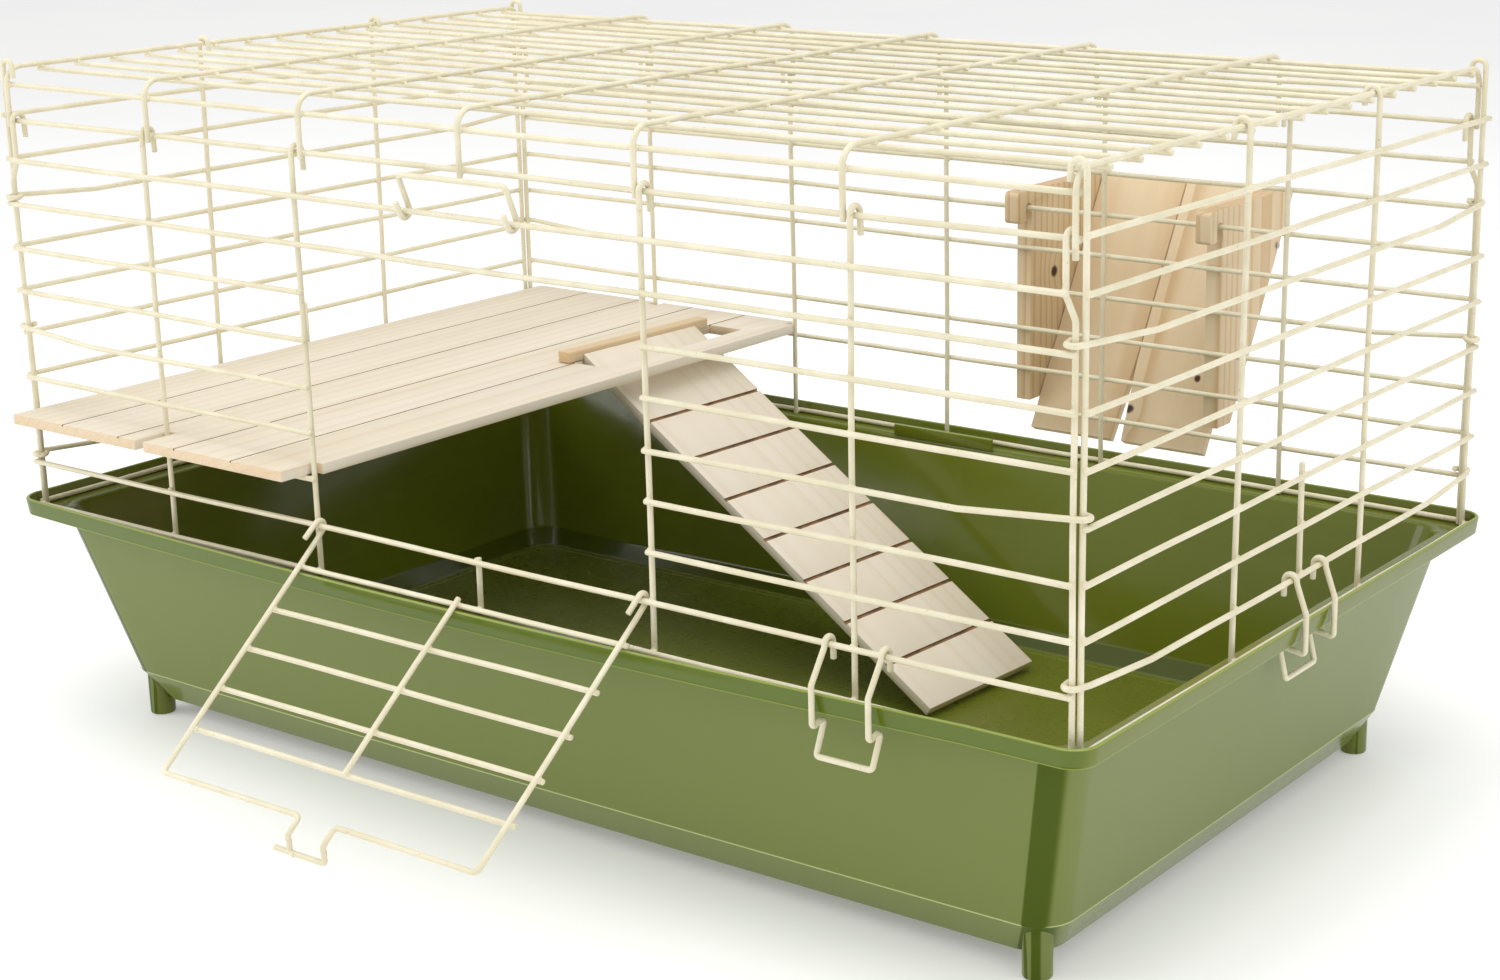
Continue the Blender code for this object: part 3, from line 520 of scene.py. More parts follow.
def clip(node, location, turn):
    """A sprung wire clip: two hooks over bar H, arms down outside the lip, and a U that grips under it."""
    reach, grip, handle = FRONT_CLIP if node == "front_clip" else OTHER_CLIP
    strands = []
    for side in (-1, 1):
        x = side * CLIP_HALF
        arm = rounded([
            (x, -CLIP_LOOP_R, -0.0010), (x, -reach, -0.0165), (x, -reach, CLIP_LOW_Z),
            (x, -grip, CLIP_GRIP_Z), (x, -handle, CLIP_HANDLE_Z), (0, -handle, CLIP_HANDLE_Z),
        ], 0.0019)
        tail = Vector((x, CLIP_LOOP_R + 0.0002, -CLIP_TAIL))
        strands.append([tail] + eye(x, 0, 180, CLIP_LOOP_R)[:-1] + arm[:-1])
    path = strands[0] + strands[1][::-1]
    return wirework(f"{node}_wire", node, node, [path], [], placed(location, turn))


# ---- Pan ----
def front_bow(x):
    start, end = BOW_X
    return BOW * math.sin(math.pi * (x - start) / (end - start)) if start < x < end else 0.0


def side_between(start, end, steps):
    return [start.lerp(end, step / steps) for step in range(1, steps)]


def pan_loop(bm, offset, z, radius, bow):
    """A rounded rectangle at the given distance outside the wire planes, with the front bulging."""
    half_x = HALF_W + offset
    low_y, high_y = FRONT_Y - offset, BACK_Y + offset
    corners = (
        (half_x - radius, high_y - radius, 0.0), (-half_x + radius, high_y - radius, 90.0),
        (-half_x + radius, low_y + radius, 180.0), (half_x - radius, low_y + radius, 270.0),
    )
    turns = []
    for x, y, first in corners:
        angles = [math.radians(first + 90.0 * step / CORNER_STEPS) for step in range(CORNER_STEPS + 1)]
        turns.append([Vector((x + radius * math.cos(a), y + radius * math.sin(a))) for a in angles])
    points = []
    for turn, following, steps in zip(turns, turns[1:] + turns[:1], (FRONT_STEPS, SIDE_STEPS) * 2):
        points += turn + side_between(turn[-1], following[0], steps)
    verts = []
    for point in points:
        y = point.y - front_bow(point.x) * bow if point.y < MIDDLE_Y else point.y
        verts.append(bm.verts.new((point.x, y, z)))
    return verts


def softened(sections):
    """The sections with each corner of their profile rounded by the section's last value."""
    made = [sections[0][:4]]
    for before, here, after in zip(sections, sections[1:], sections[2:]):
        reach = here[4]
        if not reach:
            made.append(here[:4])
            continue
        ends = []
        for other in (before, after):
            share = min(0.45, reach / math.hypot(other[0] - here[0], other[1] - here[1]))
            ends.append([a + (b - a) * share for a, b in zip(here[:4], other[:4])])
        for step in range(SOFTEN_STEPS + 1):
            t = step / SOFTEN_STEPS
            spans = zip(ends[0], here[:4], ends[1])
            made.append(tuple(a * (1 - t) ** 2 + 2 * b * t * (1 - t) + c * t ** 2 for a, b, c in spans))
    made.append(sections[-1][:4])
    return made


def pan():
    # offset outside the wire planes, height, corner radius, share of the front's bulge, softening
    sections = (
        (-0.0440, FLOOR_UNDER, 0.0165, 0.20, 0),
        (-0.0430, PAN_LOW, 0.0165, 0.20, 0.0006),
        (-0.0395, PAN_LOW, 0.0180, 0.20, 0.0012),
        (STEP_OUT - 0.0003, STEP_Z - 0.0006, 0.0198, 0.25, 0.0002),
        (STEP_OUT + 0.0003, STEP_Z, 0.0200, 0.25, 0.0003),
        (STEP_OUT + 0.0002, STEP_Z + 0.0006, 0.0200, 0.25, 0.0002),
        (-0.0044, LIP_UNDER, 0.0200, 0.35, 0.0016),
        (0.0063, LIP_UNDER, 0.0110, 1.00, 0.0006),
        (0.0066, LIP_LOW, 0.0110, 1.00, 0.0004),
        (0.0086, LIP_LOW, 0.0125, 1.00, 0.0008),
        (LIP_OUT, LIP_TOP - 0.0006, 0.0135, 1.00, 0.0006),
        (LIP_OUT - 0.0008, LIP_TOP, 0.0130, 1.00, 0.0004),
        (LIP_OUT - 0.0018, LIP_TOP, 0.0125, 1.00, 0.0005),
        (LIP_OUT - 0.0028, LEDGE_TOP, 0.0115, 1.00, 0.0012),
        (-0.0075, LEDGE_TOP, 0.0180, 0.35, 0.0025),
        (-0.0318, STEP_Z, 0.0200, 0.25, 0.0015),
        (-0.0405, FLOOR_TOP + FLOOR_BORDER, 0.0185, 0.25, 0.0020),
        (-0.0440, FLOOR_TOP + FLOOR_BORDER, 0.0180, 0.20, 0.0008),
        (-0.0455, FLOOR_TOP, 0.0170, 0.20, 0.0006),
        (-0.0480, FLOOR_TOP, 0.0160, 0.20, 0),
    )
    bm = bmesh.new()
    loops = [pan_loop(bm, *section) for section in softened(sections)]
    joined(bm, loops)
    for x in (-1, 1):
        for y in (FRONT_Y + FOOT_INSET[1], BACK_Y - FOOT_INSET[1]):
            foot(bm, x * (HALF_W - FOOT_INSET[0]), y)
    rail_tab(bm)
    bmesh.ops.recalc_face_normals(bm, faces=bm.faces)
    piece = finished("pan_moulding", bm, PLASTIC, "cage", ["base_pan"], sharp_at=40.0)


def foot(bm, x, y):
    """A round foot with a softened sole. Its outer side runs up the corner to the step in the wall."""
    top = FLOOR_UNDER + 0.0012
    sole = ((FOOT_R - 0.0012, 0.0), (FOOT_R - 0.0004, 0.0003), (FOOT_R, 0.0011))
    outward = Vector((math.copysign(1.0, x), math.copysign(1.0, y - MIDDLE_Y)))
    turns = [math.tau * step / FOOT_SIDES for step in range(FOOT_SIDES)]
    rings = []
    for radius, z in (*sole, (FOOT_R, top), (FOOT_R, STEP_Z - 0.0012)):
        ring = [Vector((radius * math.cos(t), radius * math.sin(t))) for t in turns]
        if z > top:
            ring = [flat + outward * max(0.0, FOOT_CORE - flat.dot(outward)) / 2 for flat in ring]
        rings.append([bm.verts.new((x + flat.x, y + flat.y, z)) for flat in ring])
    joined(bm, rings, True)


def rail_tab(bm):
    """A small upstand on the back ledge that keeps the wire rail in place."""
    low = (RAIL_TAB_X - RAIL_TAB_HALF, BACK_Y - RAIL_TAB_INSET, LEDGE_TOP - 0.0010)
    high = (RAIL_TAB_X + RAIL_TAB_HALF, BACK_Y - RAIL_TAB_INSET + RAIL_TAB_T, LIP_TOP)
    made = box_verts(bm, low, high)
    edges = {edge for vert in made for edge in vert.link_edges}
    bmesh.ops.bevel(bm, geom=list(edges), offset=0.0006, segments=2, profile=0.5, affect="EDGES")


# ---- Wood ----
def box_verts(bm, low, high):
    made = bmesh.ops.create_cube(bm, size=1.0)["verts"]
    for vert in made:
        vert.co = Vector([a + (b - a) * (c + 0.5) for a, b, c in zip(low, high, vert.co)])
    return made


def block(low, high):
    bm = bmesh.new()
    box_verts(bm, low, high)
    return bm


def loose(name, bm, finish, matrix=None):
    bmesh.ops.recalc_face_normals(bm, faces=bm.faces)
    return shown(name, bm, finish, matrix)


def carve(obj, tool):
    """Cuts the tool from the object. The cut faces keep the tool's finish."""
    modifier = obj.modifiers.new("carve", "BOOLEAN")
    modifier.operation = "DIFFERENCE"
    modifier.solver = "EXACT"
    modifier.material_mode = "TRANSFER"
    modifier.object = tool
    apply_modifiers(obj)
    bpy.data.objects.remove(tool, do_unlink=True)


def apply_modifiers(obj):
    bpy.context.view_layer.update()
    graph = bpy.context.evaluated_depsgraph_get()
    mesh = bpy.data.meshes.new_from_object(obj.evaluated_get(graph))
    obj.modifiers.clear()
    old = obj.data
    obj.data = mesh
    bpy.data.meshes.remove(old)


def eased(obj, width=WOOD_ARRIS):
    """Rounds the arrises of a wooden piece and smooths its shading."""
    modifier = obj.modifiers.new("arris", "BEVEL")
    modifier.width = width
    modifier.segments = 2
    modifier.limit_method = "ANGLE"
    modifier.angle_limit = math.radians(30.0)
    modifier.use_clamp_overlap = True
    apply_modifiers(obj)
    smoothed(obj, 40.0)


def wooden(obj, name, body, nodes):
    obj.name = name
    obj.data.name = name
    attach(obj, body)
    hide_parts(*nodes)


def shelf():
    low_z, high_z = SHELF_Z
    corners = [Vector(corner) for corner in zip(SHELF_X, SHELF_Y, SHELF_Z)]
    board = loose("shelf", block(*corners), PALE_WOOD)
    clear = WIRE_R + 0.0020
    under, over = low_z - 0.01, high_z + 0.01
    front_to, back_from = FRONT_Y + clear, BACK_Y - clear
    before, behind = SHELF_Y[0] - 0.01, SHELF_Y[1] + 0.01
    beyond = SHELF_X[1] + 0.01
    cuts = (
        ((-2 * BAY - clear, before, under), (-2 * BAY + clear, front_to, over)),
        ((-2 * BAY - clear, back_from, under), (-2 * BAY + clear, behind, over)),
        ((-BAY - clear, before, under), (beyond, front_to, over)),
        ((-BAY - clear, back_from, under), (beyond, behind, over)),
        ((SLOT_X[0], SLOT_Y[0], under), (SLOT_X[1], SLOT_Y[1], over)),
    )
    for low, high in cuts:
        carve(board, loose("cutter", block(low, high), SAWN_EDGE))
    for x in SHELF_SCORES:
        spans = [(before, behind)]
        if SLOT_X[0] - SCORE_W < x < SLOT_X[1] + SCORE_W:
            spans = [(before, SLOT_Y[0] + 0.001), (SLOT_Y[1] - 0.001, behind)]
        for start, end in spans:
            carve(board, score_cutter(x, start, end, high_z))
    eased(board)
    wooden(board, "shelf_panel", "shelf", ["shelf_board"])


def score_cutter(x, start, end, top):
    """A long V-bottomed cutter along Y for one scored line."""
    bm = bmesh.new()
    profile = (
        (-SCORE_W / 2, 0.002), (SCORE_W / 2, 0.002), (SCORE_W / 2, -SCORE_DEPTH * 0.6),
        (0, -SCORE_DEPTH), (-SCORE_W / 2, -SCORE_DEPTH * 0.6),
    )
    rows = [[bm.verts.new((x + dx, y, top + dz)) for dx, dz in profile] for y in (start, end)]
    joined(bm, rows)
    return loose("score", bm, SCORCH_AND_SHADE)


def ramp():
    """Built in the slope's own frame: local X down the slope, local Z out of the walking face."""
    top_x = CLEAT_W + GAP
    hinge = Matrix.Translation(CLEAT_CORNER) @ Matrix.Rotation(RAMP_YAW, 4, "Z")
    slope = Matrix.Translation((top_x, 0, RAMP_TOP_Z)) @ Matrix.Rotation(RAMP_SLOPE, 4, "Y")
    rise = math.tan(RAMP_SLOPE)
    drop = RAMP_T / math.cos(RAMP_SLOPE)
    floor_z = FLOOR_TOP + RAMP_REST - CLEAT_CORNER.z
    end_x = top_x + (RAMP_TOP_Z - drop - floor_z) / rise
    tip_x = end_x + drop * math.sin(RAMP_SLOPE) * math.cos(RAMP_SLOPE)
    tip_z = RAMP_TOP_Z - (tip_x - top_x) * rise
    outline = [(top_x, RAMP_TOP_Z), (top_x, RAMP_TOP_Z - drop), (end_x, floor_z), (tip_x, tip_z)]
    length = (tip_x - top_x) / math.cos(RAMP_SLOPE)
    bm = bmesh.new()
    into = slope.inverted()
    sides = (-RAMP_W / 2, RAMP_W / 2)
    rows = [[bm.verts.new(into @ Vector((x, y, z))) for x, z in outline] for y in sides]
    joined(bm, rows)
    board = loose("ramp", bm, RAMP_WOOD, hinge @ slope)
    for index in range(RAMP_GROOVES):
        s = length - RAMP_GROOVE_FIRST - index * RAMP_GROOVE_PITCH
        low = (s - RAMP_GROOVE_W / 2, -RAMP_W, -RAMP_GROOVE_DEPTH)
        high = (s + RAMP_GROOVE_W / 2, RAMP_W, 0.01)
        carve(board, loose("groove", block(low, high), SCORCH_AND_SHADE, hinge @ slope))
    eased(board, 0.0004)
    wooden(board, "ramp_plank", "ramp", ["ramp_board"])
    batten = block((0, -CLEAT_LENGTH / 2, 0), (CLEAT_W, CLEAT_LENGTH / 2, CLEAT_H))
    cleat = loose("cleat", batten, CLEAT_WOOD, hinge)
    eased(cleat, 0.0007)
    wooden(cleat, "ramp_batten", "ramp", ["ramp_cleat"])


# ---- Hay rack ----
def rack_outline(offset):
    """The line of the slats that far out from their inner face: its foot and top, as (depth, height)."""
    foot_point = Vector((RACK_FRONT + 0.0005, RACK_SLAT_FOOT - LEVELS["C"]))
    top = Vector((RACK_DEPTH - RACK_SLAT_T / math.cos(RACK_SLOPE), RACK_TOP - 0.0015 - LEVELS["C"]))
    slope = (top - foot_point).normalized()
    out = Vector((slope.y, -slope.x)) * offset
    return foot_point + out, top + out


def extruded(outline, thickness):
    """A closed outline in the local XY plane, extruded up local Z by the thickness."""
    bm = bmesh.new()
    rows = [[bm.verts.new((x, y, z)) for x, y in outline] for z in (0.0, thickness)]
    joined(bm, rows)
    return bm


def rack_matrix(x):
    turn = Matrix.Rotation(math.pi / 2, 4, "Z") @ Matrix.Rotation(math.pi / 2, 4, "X")
    return Matrix.Translation((x, BACK_Y + WELD, LEVELS["C"])) @ turn


def corner_arc(x, y, radius, first, steps=6):
    """A clockwise quarter turn of the outline about (x, y), from the angle first, in degrees."""
    angles = [math.radians(first - 90.0 * step / steps) for step in range(steps + 1)]
    return [(x + radius * math.cos(a), y + radius * math.sin(a)) for a in angles]


def rack_side(name, node, x):
    """A side board with a hook that drops over bar C of the back panel. Outline in (depth, height)."""
    foot_point, top = rack_outline(RACK_SLAT_T)
    tip_z = RACK_TIP - LEVELS["C"]
    top_z = RACK_TOP - LEVELS["C"]
    tip = foot_point + (top - foot_point) * ((tip_z - foot_point.y) / (top.y - foot_point.y))
    slot = 0.0032
    hook = -0.0125
    outline = [(RACK_FRONT, tip_z), (RACK_FRONT, -0.0105), (slot, -0.0080)]
    for step in range(SLOT_STEPS + 1):
        angle = math.pi * step / SLOT_STEPS
        outline.append((slot * math.cos(angle), -0.0006 + slot * 0.9 * math.sin(angle)))
    outline += [(-slot, -0.0070)]
    outline += corner_arc(-slot - 0.0018, -0.0074, 0.0018, 0.0)[1:]
    outline += corner_arc(hook + 0.0024, -0.0068, 0.0024, 270.0)
    outline += corner_arc(hook + 0.0034, top_z - 0.0034, 0.0034, 180.0)
    outline += [(top.x, top_z), tuple(top), tuple(tip)]
    board = loose(name, extruded(outline, RACK_BOARD_T), RACK_SIDE_WOOD[name], rack_matrix(x))
    eased(board, 0.0006)
    wooden(board, name, "hay_rack", [node])


def rack_slat(name, node, x_low, x_high, splay_low, splay_high):
    """One sloping slat between the side boards, its inner edge splayed near the foot."""
    foot_point, top = rack_outline(0.0)
    foot_out, top_out = rack_outline(RACK_SLAT_T)
    width = x_high - x_low
    bm = bmesh.new()
    rows = []
    for share in (0.0, RACK_SPLAY, 1.0):
        pull = max(0.0, 1.0 - share / RACK_SPLAY)
        inner, outer = foot_point.lerp(top, share), foot_out.lerp(top_out, share)
        near, far = splay_low * pull, width - splay_high * pull
        corners = ((inner, near), (inner, far), (outer, far), (outer, near))
        rows.append([bm.verts.new((point.x, point.y, z)) for point, z in corners])
    joined(bm, rows)
    board = loose(name, bm, RACK_SLAT_WOOD[name], rack_matrix(x_low))
    eased(board, 0.0005)
    wooden(board, name, "hay_rack", [node])


def hay_rack():
    left, right = RACK_X
    inner = (left + RACK_BOARD_T + GAP, right - RACK_BOARD_T - GAP)
    middle = (inner[0] + inner[1]) / 2
    rack_side("rack_left_board", "rack_side_left", left)
    rack_side("rack_right_board", "rack_side_right", right - RACK_BOARD_T)
    rack_slat("rack_left_slat", "rack_slat_left", inner[0], middle - GAP, 0.0, 0.0030)
    rack_slat("rack_right_slat", "rack_slat_right", middle + GAP, inner[1], 0.0040, 0.0)


# ---- Materials ----
class Graph:
    """A material's node tree, with short calls to add and join nodes."""

    def __init__(self, name):
        self.material = bpy.data.materials.new(name)
        self.material.use_nodes = True
        self.tree = self.material.node_tree
        self.shader = self.tree.nodes["Principled BSDF"]

    def add(self, kind, inputs=None, **settings):
        made = self.tree.nodes.new(kind)
        for key, value in settings.items():
            setattr(made, key, value)
        for key, value in (inputs or {}).items():
            self.put(made.inputs[key], value)
        return made

    def put(self, socket, value):
        if isinstance(value, bpy.types.NodeSocket):
            self.tree.links.new(value, socket)
        else:
            socket.default_value = value

    def math(self, operation, *values, clamp=False):
        made = self.add("ShaderNodeMath", dict(enumerate(values)), operation=operation, use_clamp=clamp)
        return made.outputs[0]

    def mix(self, share, first, second):
        made = self.add("ShaderNodeMix", data_type="RGBA")
        self.put(made.inputs[0], share)
        self.put(made.inputs[6], first)
        self.put(made.inputs[7], second)
        return made.outputs[2]

    def times(self, first, second):
        return self.math("MULTIPLY", first, second)

    def parts(self, vector):
        return self.add("ShaderNodeSeparateXYZ", {0: vector}).outputs

    def normal(self):
        return self.parts(self.add("ShaderNodeTexCoord").outputs["Normal"])

    def ramp(self, value, low, high, to_low=0.0, to_high=1.0):
        inputs = {"Value": value, "From Min": low, "From Max": high, "To Min": to_low, "To Max": to_high}
        return self.add("ShaderNodeMapRange", inputs, interpolation_type="SMOOTHSTEP").outputs[0]

    def place(self, scale=(1, 1, 1), offset=(0, 0, 0), turn=0.0):
        coords = self.add("ShaderNodeTexCoord").outputs["Object"]
        if turn:
            coords = self.mapped(coords, Rotation=(0, 0, turn))
        return self.mapped(coords, Scale=scale, Location=offset)

    def mapped(self, coords, **inputs):
        return self.add("ShaderNodeMapping", {"Vector": coords, **inputs}).outputs[0]

    def noise(self, vector, scale, detail=4.0, roughness=0.5, distortion=0.0):
        inputs = {"Vector": vector, "Scale": scale, "Detail": detail}
        inputs |= {"Roughness": roughness, "Distortion": distortion}
        return self.add("ShaderNodeTexNoise", inputs).outputs[0]

    def surface(self, **inputs):
        for key, value in inputs.items():
            self.put(self.shader.inputs[key.replace("_", " ")], value)

    def bump(self, height, distance, strength=1.0):
        inputs = {"Height": height, "Distance": distance, "Strength": strength}
        self.put(self.shader.inputs["Normal"], self.add("ShaderNodeBump", inputs).outputs[0])


def linear(red, green, blue):
    """A colour given as 8-bit display values."""
    parts = [part / 255 for part in (red, green, blue)]
    parts = [part / 12.92 if part <= 0.04045 else ((part + 0.055) / 1.055) ** 2.4 for part in parts]
    return (*parts, 1.0)


def wire_coat():
    """Cream powder coat: fine orange peel, slight mottling and thin, darker spots."""
    graph = Graph("cream_powder_coat")
    where = graph.place()
    mottle = graph.noise(where, 60.0, 5.0, 0.6)
    broad = graph.noise(where, 9.0, 3.0)
    colour = graph.mix(graph.ramp(mottle, 0.35, 0.70), linear(224, 216, 186), linear(236, 229, 204))
    colour = graph.mix(graph.ramp(broad, 0.40, 0.75, 0.0, 0.35), colour, linear(216, 204, 170))
    specks = graph.ramp(graph.noise(where, 420.0, 2.0), 0.70, 0.76, 0.0, 0.5)
    colour = graph.mix(specks, colour, linear(170, 150, 105))
    peel = graph.noise(where, 900.0, 2.0, 0.4)
    graph.surface(Base_Color=colour, Roughness=graph.ramp(mottle, 0.3, 0.7, 0.30, 0.42))
    graph.bump(peel, 0.00008, 0.5)
    return graph.material


def plastic():
    """Green injection-moulded plastic: glossy, with a painted pale reflection on the outer walls and a grained
    floor.
    """
    graph = Graph("green_moulded_plastic")
    where = graph.place()
    broad = graph.noise(where, 4.0, 4.0, 0.55, 0.6)
    fine = graph.noise(where, 160.0, 3.0, 0.6)
    flow = graph.noise(graph.place((3.0, 3.0, 16.0)), 3.0, 3.0, 0.5, 1.2)
    colour = graph.mix(graph.ramp(broad, 0.3, 0.7), linear(97, 104, 24), linear(106, 116, 31))
    colour = graph.mix(graph.ramp(flow, 0.45, 0.75, 0.0, 0.30), colour, linear(108, 120, 40))
    wall, corner_reflection = outer_masks(graph)
    # Painted pale reflection on the outer walls.
    colour = graph.mix(wall, colour, linear(117, 128, 70))
    # Painted highlight along the step round the foot of the walls.
    colour = graph.mix(step_highlight(graph, where), colour, linear(196, 204, 140))
    # Painted dark reflection on the rounded corners of the outer walls.
    colour = graph.mix(corner_reflection, colour, linear(72, 88, 14))
    height = graph.parts(where)[2]
    upward = graph.normal()[2]
    low = graph.ramp(height, FLOOR_TOP + 0.0016, FLOOR_TOP + 0.0008)
    floor = graph.times(low, graph.ramp(upward, 0.4, 0.7))
    # Painted shade: the upward-facing surfaces below the step, other than the floor, darkened.
    slope = graph.ramp(height, STEP_Z + 0.0010, STEP_Z - 0.0010)
    slope = graph.times(slope, graph.ramp(upward, 0.15, 0.35))
    slope = graph.times(slope, graph.math("SUBTRACT", 1.0, floor))
    colour = graph.mix(graph.times(slope, 0.75), colour, linear(60, 72, 12))
    face, edges = rim_masks(graph, height)
    # Painted shade on the lip's front face and painted highlights along its two edges.
    colour = graph.mix(face, colour, linear(86, 106, 20))
    colour = graph.mix(edges, colour, linear(158, 172, 84))
    grain = graph.noise(where, 2600.0, 2.0, 0.6)
    dust = graph.ramp(graph.noise(where, 2200.0, 2.0), 0.60, 0.74, 0.0, 0.22)
    colour = graph.mix(graph.times(dust, floor), colour, linear(150, 160, 95))
    shine = graph.ramp(fine, 0.3, 0.7, 0.10, 0.17)
    rough = graph.math("ADD", shine, graph.times(floor, 0.16))
    waves = graph.times(graph.noise(where, 14.0, 2.0), 0.7)
    grain = graph.times(graph.times(grain, floor), 0.16)
    sink = graph.math("ADD", waves, grain)
    graph.surface(Base_Color=colour, Roughness=rough, IOR=1.46)
    dulled = graph.math("ADD", graph.times(corner_reflection, 0.36), graph.times(wall, 0.32))
    graph.surface(Specular_IOR_Level=graph.math("SUBTRACT", 0.5, dulled))
    graph.bump(sink, 0.0010, 0.6)
    return graph.material


def outer_masks(graph):
    """Two masks for the outside below the rim, for painted reflections: the walls, painted pale, and where the
    corners leave the front or back, painted dark.
    """
    normal = graph.normal()
    height = graph.parts(graph.place())[2]
    across, along = [graph.math("ABSOLUTE", part) for part in normal[:2]]
    corner_reflection = graph.times(graph.ramp(across, 0.10, 0.16), graph.ramp(across, 0.74, 0.60))
    corner_reflection = graph.times(corner_reflection, graph.ramp(along, 0.10, 0.16))
    upright = graph.ramp(graph.math("ABSOLUTE", normal[2]), 0.85, 0.65)
    below = graph.ramp(height, LIP_LOW + 0.0020, LIP_LOW + 0.0010)
    outside = graph.times(graph.times(facing_out(graph), below), upright)
    corner_reflection = graph.times(outside, corner_reflection)
    return graph.math("SUBTRACT", outside, corner_reflection), corner_reflection


def rim_masks(graph, height):
    """Two masks for the outer band of the lip: its front face, darkened as painted shade, and its two edges,
    lightened as painted highlights.
    """
    normal = graph.normal()
    out = facing_out(graph)
    ahead = graph.ramp(graph.math("ABSOLUTE", normal[1]), 0.35, 0.80)
    face = graph.times(graph.ramp(height, LIP_LOW - 0.0002, LIP_LOW + 0.0001), graph.times(ahead, out))
    low = graph.ramp(height, LIP_LOW - 0.0003, LIP_LOW)
    low = graph.times(graph.ramp(height, LIP_LOW + 0.0010, LIP_LOW + 0.0004), low)
    high = graph.ramp(height, LIP_TOP - 0.0009, LIP_TOP - 0.0004)
    edges = graph.times(graph.math("MAXIMUM", low, high), 0.7)
    return graph.times(face, 0.85), graph.times(edges, graph.math("MAXIMUM", out, high))


def step_highlight(graph, where):
    """A mask for a painted highlight along the edge of the step round the foot of the walls."""
    at = graph.parts(where)
    above = graph.ramp(at[2], STEP_Z - 0.0004, STEP_Z - 0.0001)
    below = graph.ramp(at[2], STEP_Z + 0.0007, STEP_Z + 0.0003)
    line = graph.times(above, below)
    return graph.times(line, graph.times(facing_out(graph), 0.8))


def facing_out(graph):
    """A mask for the surfaces that face away from the middle of the cage."""
    normal = graph.normal()
    at = graph.parts(graph.place(offset=(0.0, -MIDDLE_Y, 0.0)))
    outward = graph.math("ADD", *[graph.times(normal[axis], at[axis]) for axis in (0, 1)])
    return graph.ramp(outward, 0.02, 0.06)


def wood(name, grain, tones, rings, offset, strength, knots=(), turn=0.0):
    """Softwood with growth rings, fibres along the axis grain, and darker end grain."""
    light, dark, warm = tones
    graph = Graph(name)
    stretch, stretch_more = [[share if part == grain else 1.0 for part in "XYZ"] for share in (0.07, 0.02)]
    where = graph.place(stretch, offset, turn)
    plain = graph.place()
    knot_mask = 0.0
    for place_at, radius in knots:
        apart = graph.add("ShaderNodeVectorMath", {0: plain, 1: place_at}, operation="DISTANCE").outputs[1]
        ragged = graph.math("ADD", apart, graph.times(graph.noise(plain, 500.0, 2.0), radius * 0.5))
        knot_mask = graph.math("MAXIMUM", knot_mask, graph.ramp(ragged, radius * 1.6, radius * 0.9))
        swirl = graph.ramp(apart, radius * 6.0, radius * 0.5, 0.0, radius * 0.9)
        where = graph.add("ShaderNodeVectorMath", {0: where, 1: swirl}, operation="ADD").outputs[0]
    shape = {"Vector": where, "Scale": RING_SCALE / rings, "Distortion": 3.2}
    shape |= {"Detail": 3.0, "Detail Scale": 0.55, "Detail Roughness": 0.55}
    wave = graph.add("ShaderNodeTexWave", shape, wave_type="RINGS", rings_direction=grain, wave_profile="SAW")
    late = graph.ramp(wave.outputs[0], 0.55, 1.0)
    fibres = graph.noise(graph.place(stretch_more, offset, turn), 1600.0, 3.0, 0.7)
    broad = graph.noise(graph.place(stretch, offset, turn), 22.0, 3.0)
    tone = graph.times(late, strength)
    tone = graph.math("ADD", tone, graph.ramp(broad, 0.35, 0.75, 0.0, 0.45))
    tone = graph.math("ADD", tone, graph.ramp(fibres, 0.55, 0.80, 0.0, 0.30), clamp=True)
    colour = graph.mix(tone, light, dark)
    facing = graph.math("ABSOLUTE", graph.normal()["XYZ".index(grain)])
    end = graph.ramp(facing, 0.75, 0.95)
    speckle = graph.ramp(graph.noise(plain, 1500.0, 2.0), 0.4, 0.7, 0.35, 0.9)
    colour = graph.mix(graph.times(end, speckle), colour, warm)
    if knots:
        colour = graph.mix(knot_mask, colour, linear(62, 34, 20))
    graph.surface(Base_Color=colour, Roughness=graph.ramp(fibres, 0.3, 0.8, 0.52, 0.72))
    relief = graph.math("ADD", graph.times(fibres, 0.7), graph.times(late, 0.3))
    graph.bump(relief, 0.00022, 0.6)
    return graph.material


def scorch_and_shade():
    """The inside of a sawn groove, browned by scorching and darkened as painted shade."""
    graph = Graph("scorch_and_shade_groove")
    where = graph.place()
    patches = graph.noise(where, 90.0, 4.0, 0.6)
    colour = graph.mix(graph.ramp(patches, 0.3, 0.7), linear(112, 84, 56), linear(166, 130, 90))
    graph.surface(Base_Color=colour, Roughness=0.8)
    graph.bump(graph.noise(where, 1500.0, 2.0), 0.0002, 0.6)
    return graph.material


def steel():
    graph = Graph("brad_head_steel")
    where = graph.place()
    brushed = graph.noise(where, 2400.0, 3.0, 0.7)
    colour = graph.mix(graph.ramp(brushed, 0.3, 0.7), linear(150, 146, 138), linear(198, 194, 186))
    graph.surface(Base_Color=colour, Metallic=1.0, Roughness=graph.ramp(brushed, 0.2, 0.8, 0.30, 0.48))
    graph.bump(brushed, 0.00004, 0.5)
    return graph.material


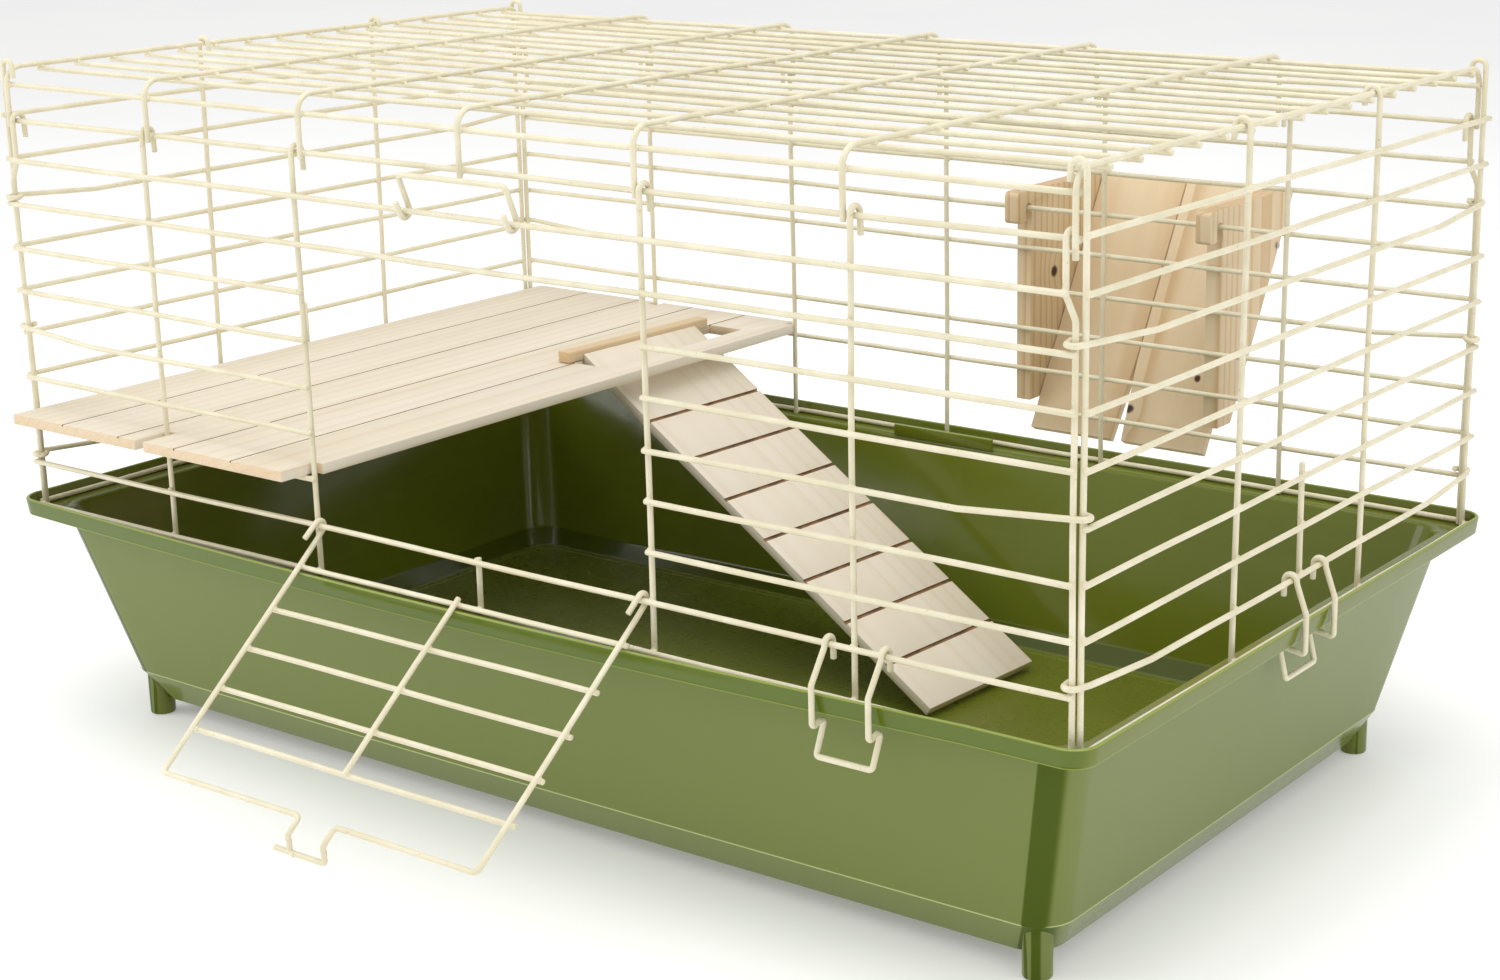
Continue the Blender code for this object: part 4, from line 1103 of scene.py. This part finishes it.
# ---- Studio ----
def studio_floor():
    """A pale floor that reaches beyond the view."""
    bm = bmesh.new()
    bmesh.ops.create_grid(bm, x_segments=8, y_segments=8, size=14.0)
    graph = Graph("pale_floor")
    shade = graph.ramp(graph.noise(graph.place(), 1.2, 2.0), 0.3, 0.7)
    colour = graph.mix(shade, linear(240, 240, 240), linear(244, 244, 243))
    graph.surface(Base_Color=colour, Roughness=0.9, Specular_IOR_Level=0.1)
    graph.surface(Emission_Color=(1.0, 1.0, 1.0, 1.0), Emission_Strength=FLOOR_GLOW)
    obj = shown("studio_floor", bm, graph.material)


def softbox(name, at, aim, size, power):
    light = bpy.data.lights.new(name, "AREA")
    light.shape = "RECTANGLE"
    light.size, light.size_y = size
    light.energy = power
    obj = linked(name, light)
    obj.location = at
    obj.rotation_mode = "QUATERNION"
    obj.rotation_quaternion = (Vector(aim) - Vector(at)).to_track_quat("-Z", "Y")


def studio_light():
    world = bpy.data.worlds.new("studio")
    world.use_nodes = True
    sky = world.node_tree.nodes["Background"].inputs
    sky["Color"].default_value = (1.0, 1.0, 1.0, 1.0)
    sky["Strength"].default_value = SKY_STRENGTH
    bpy.context.scene.world = world
    for box in SOFTBOXES:
        softbox(*box)


def studio_camera():
    azimuth, down = CAMERA_AZIMUTH, CAMERA_DOWN
    right = Vector((math.cos(azimuth), math.sin(azimuth), 0.0))
    ahead = Vector((-math.sin(azimuth) * math.cos(down), math.cos(azimuth) * math.cos(down), -math.sin(down)))
    up = right.cross(ahead)
    turned_right = right * math.cos(CAMERA_ROLL) + up * math.sin(CAMERA_ROLL)
    turned_up = up * math.cos(CAMERA_ROLL) - right * math.sin(CAMERA_ROLL)
    data = bpy.data.cameras.new("studio_camera")
    data.sensor_width = SENSOR * 1000
    data.lens = LENS * 1000
    data.shift_x, data.shift_y = SHIFT
    data.clip_start = 0.05
    turn = Matrix((turned_right, turned_up, -ahead)).transposed().to_4x4()
    bpy.context.scene.camera = linked("studio_camera", data, Matrix.Translation(CAMERA_AT) @ turn)


# ---- Assembly ----
PALE = (linear(231, 221, 203), linear(216, 198, 168), linear(222, 188, 138))
YELLOW = (linear(223, 203, 168), linear(200, 164, 116), linear(206, 168, 118))
WIRE_COAT = wire_coat()
PLASTIC = plastic()
PALE_WOOD = wood("pale_softwood", "Y", PALE, 0.0065, (0.05, 0.0, 0.035), 0.35)
SAWN_EDGE = wood("sawn_softwood", "Y", PALE, 0.0060, (0.02, 0.0, 0.010), 0.45)
RAMP_WOOD = wood("ramp_softwood", "X", PALE, 0.0075, (0.0, 0.02, 0.055), 0.30)
CLEAT_WOOD = wood("batten_softwood", "Y", YELLOW, 0.0040, (0.01, 0.0, 0.02), 0.35)
LEFT_KNOTS = (((0.030, -0.045, 0.010), 0.0035),)
RIGHT_SLAT_KNOTS = (((0.014, -0.122, 0.004), 0.0030), ((0.026, -0.100, 0.044), 0.0022))
RACK_SIDE_WOOD = {
    "rack_left_board": wood("rack_left_softwood", "Y", YELLOW, 0.0060, (0.03, 0.0, 0.02), 0.7, LEFT_KNOTS),
    "rack_right_board": wood("rack_right_softwood", "Y", YELLOW, 0.0050, (-0.06, 0.0, 0.03), 0.6),
}
RACK_SLAT_WOOD = {
    "rack_left_slat": wood(
        "rack_slat_softwood_a", "Y", YELLOW, 0.0080, (0.05, 0.0, -0.02), 0.6, (), RACK_SLOPE,
    ),
    "rack_right_slat": wood(
        "rack_slat_softwood_b", "Y", YELLOW, 0.0070, (0.04, 0.0, -0.05), 0.6, RIGHT_SLAT_KNOTS, RACK_SLOPE,
    ),
}
SCORCH_AND_SHADE = scorch_and_shade()
BRAD = steel()


def cage_top():
    roof_panel()
    face_panel("front_wires", "front_panel", FRONT_X, True, placed((0, FRONT_Y, 0), 0))
    face_panel("back_wires", "back_panel", BACK_X, False, placed((0, BACK_Y, 0), math.pi))
    side_panel("left_wires", "left_panel", -1)
    side_panel("right_wires", "right_panel", 1)


def clips():
    rail_h = LEVELS["H"]
    side_bar_x = SIDE_X + WELD
    clip("front_clip", (CLIP_FRONT_X, FRONT_Y - WELD, rail_h), 0)
    clip("back_clip", (-CLIP_FRONT_X, BACK_Y + WELD, rail_h), math.pi)
    clip("right_clip", (side_bar_x, CLIP_SIDE_Y, rail_h), math.pi / 2)
    clip("left_clip", (-side_bar_x, CLIP_SIDE_Y, rail_h), -math.pi / 2)


def brads():
    for side in ("left", "right"):
        for index in (1, 2):
            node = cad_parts[f"rack_brad_{side}_{index}"]
            node.data.materials.clear()
            node.data.materials.append(BRAD)


cage_top()
door()
door_latch()
clips()
pan()
shelf()
ramp()
hay_rack()
brads()
studio_floor()
studio_light()
studio_camera()
bpy.context.scene.view_settings.view_transform = "Standard"
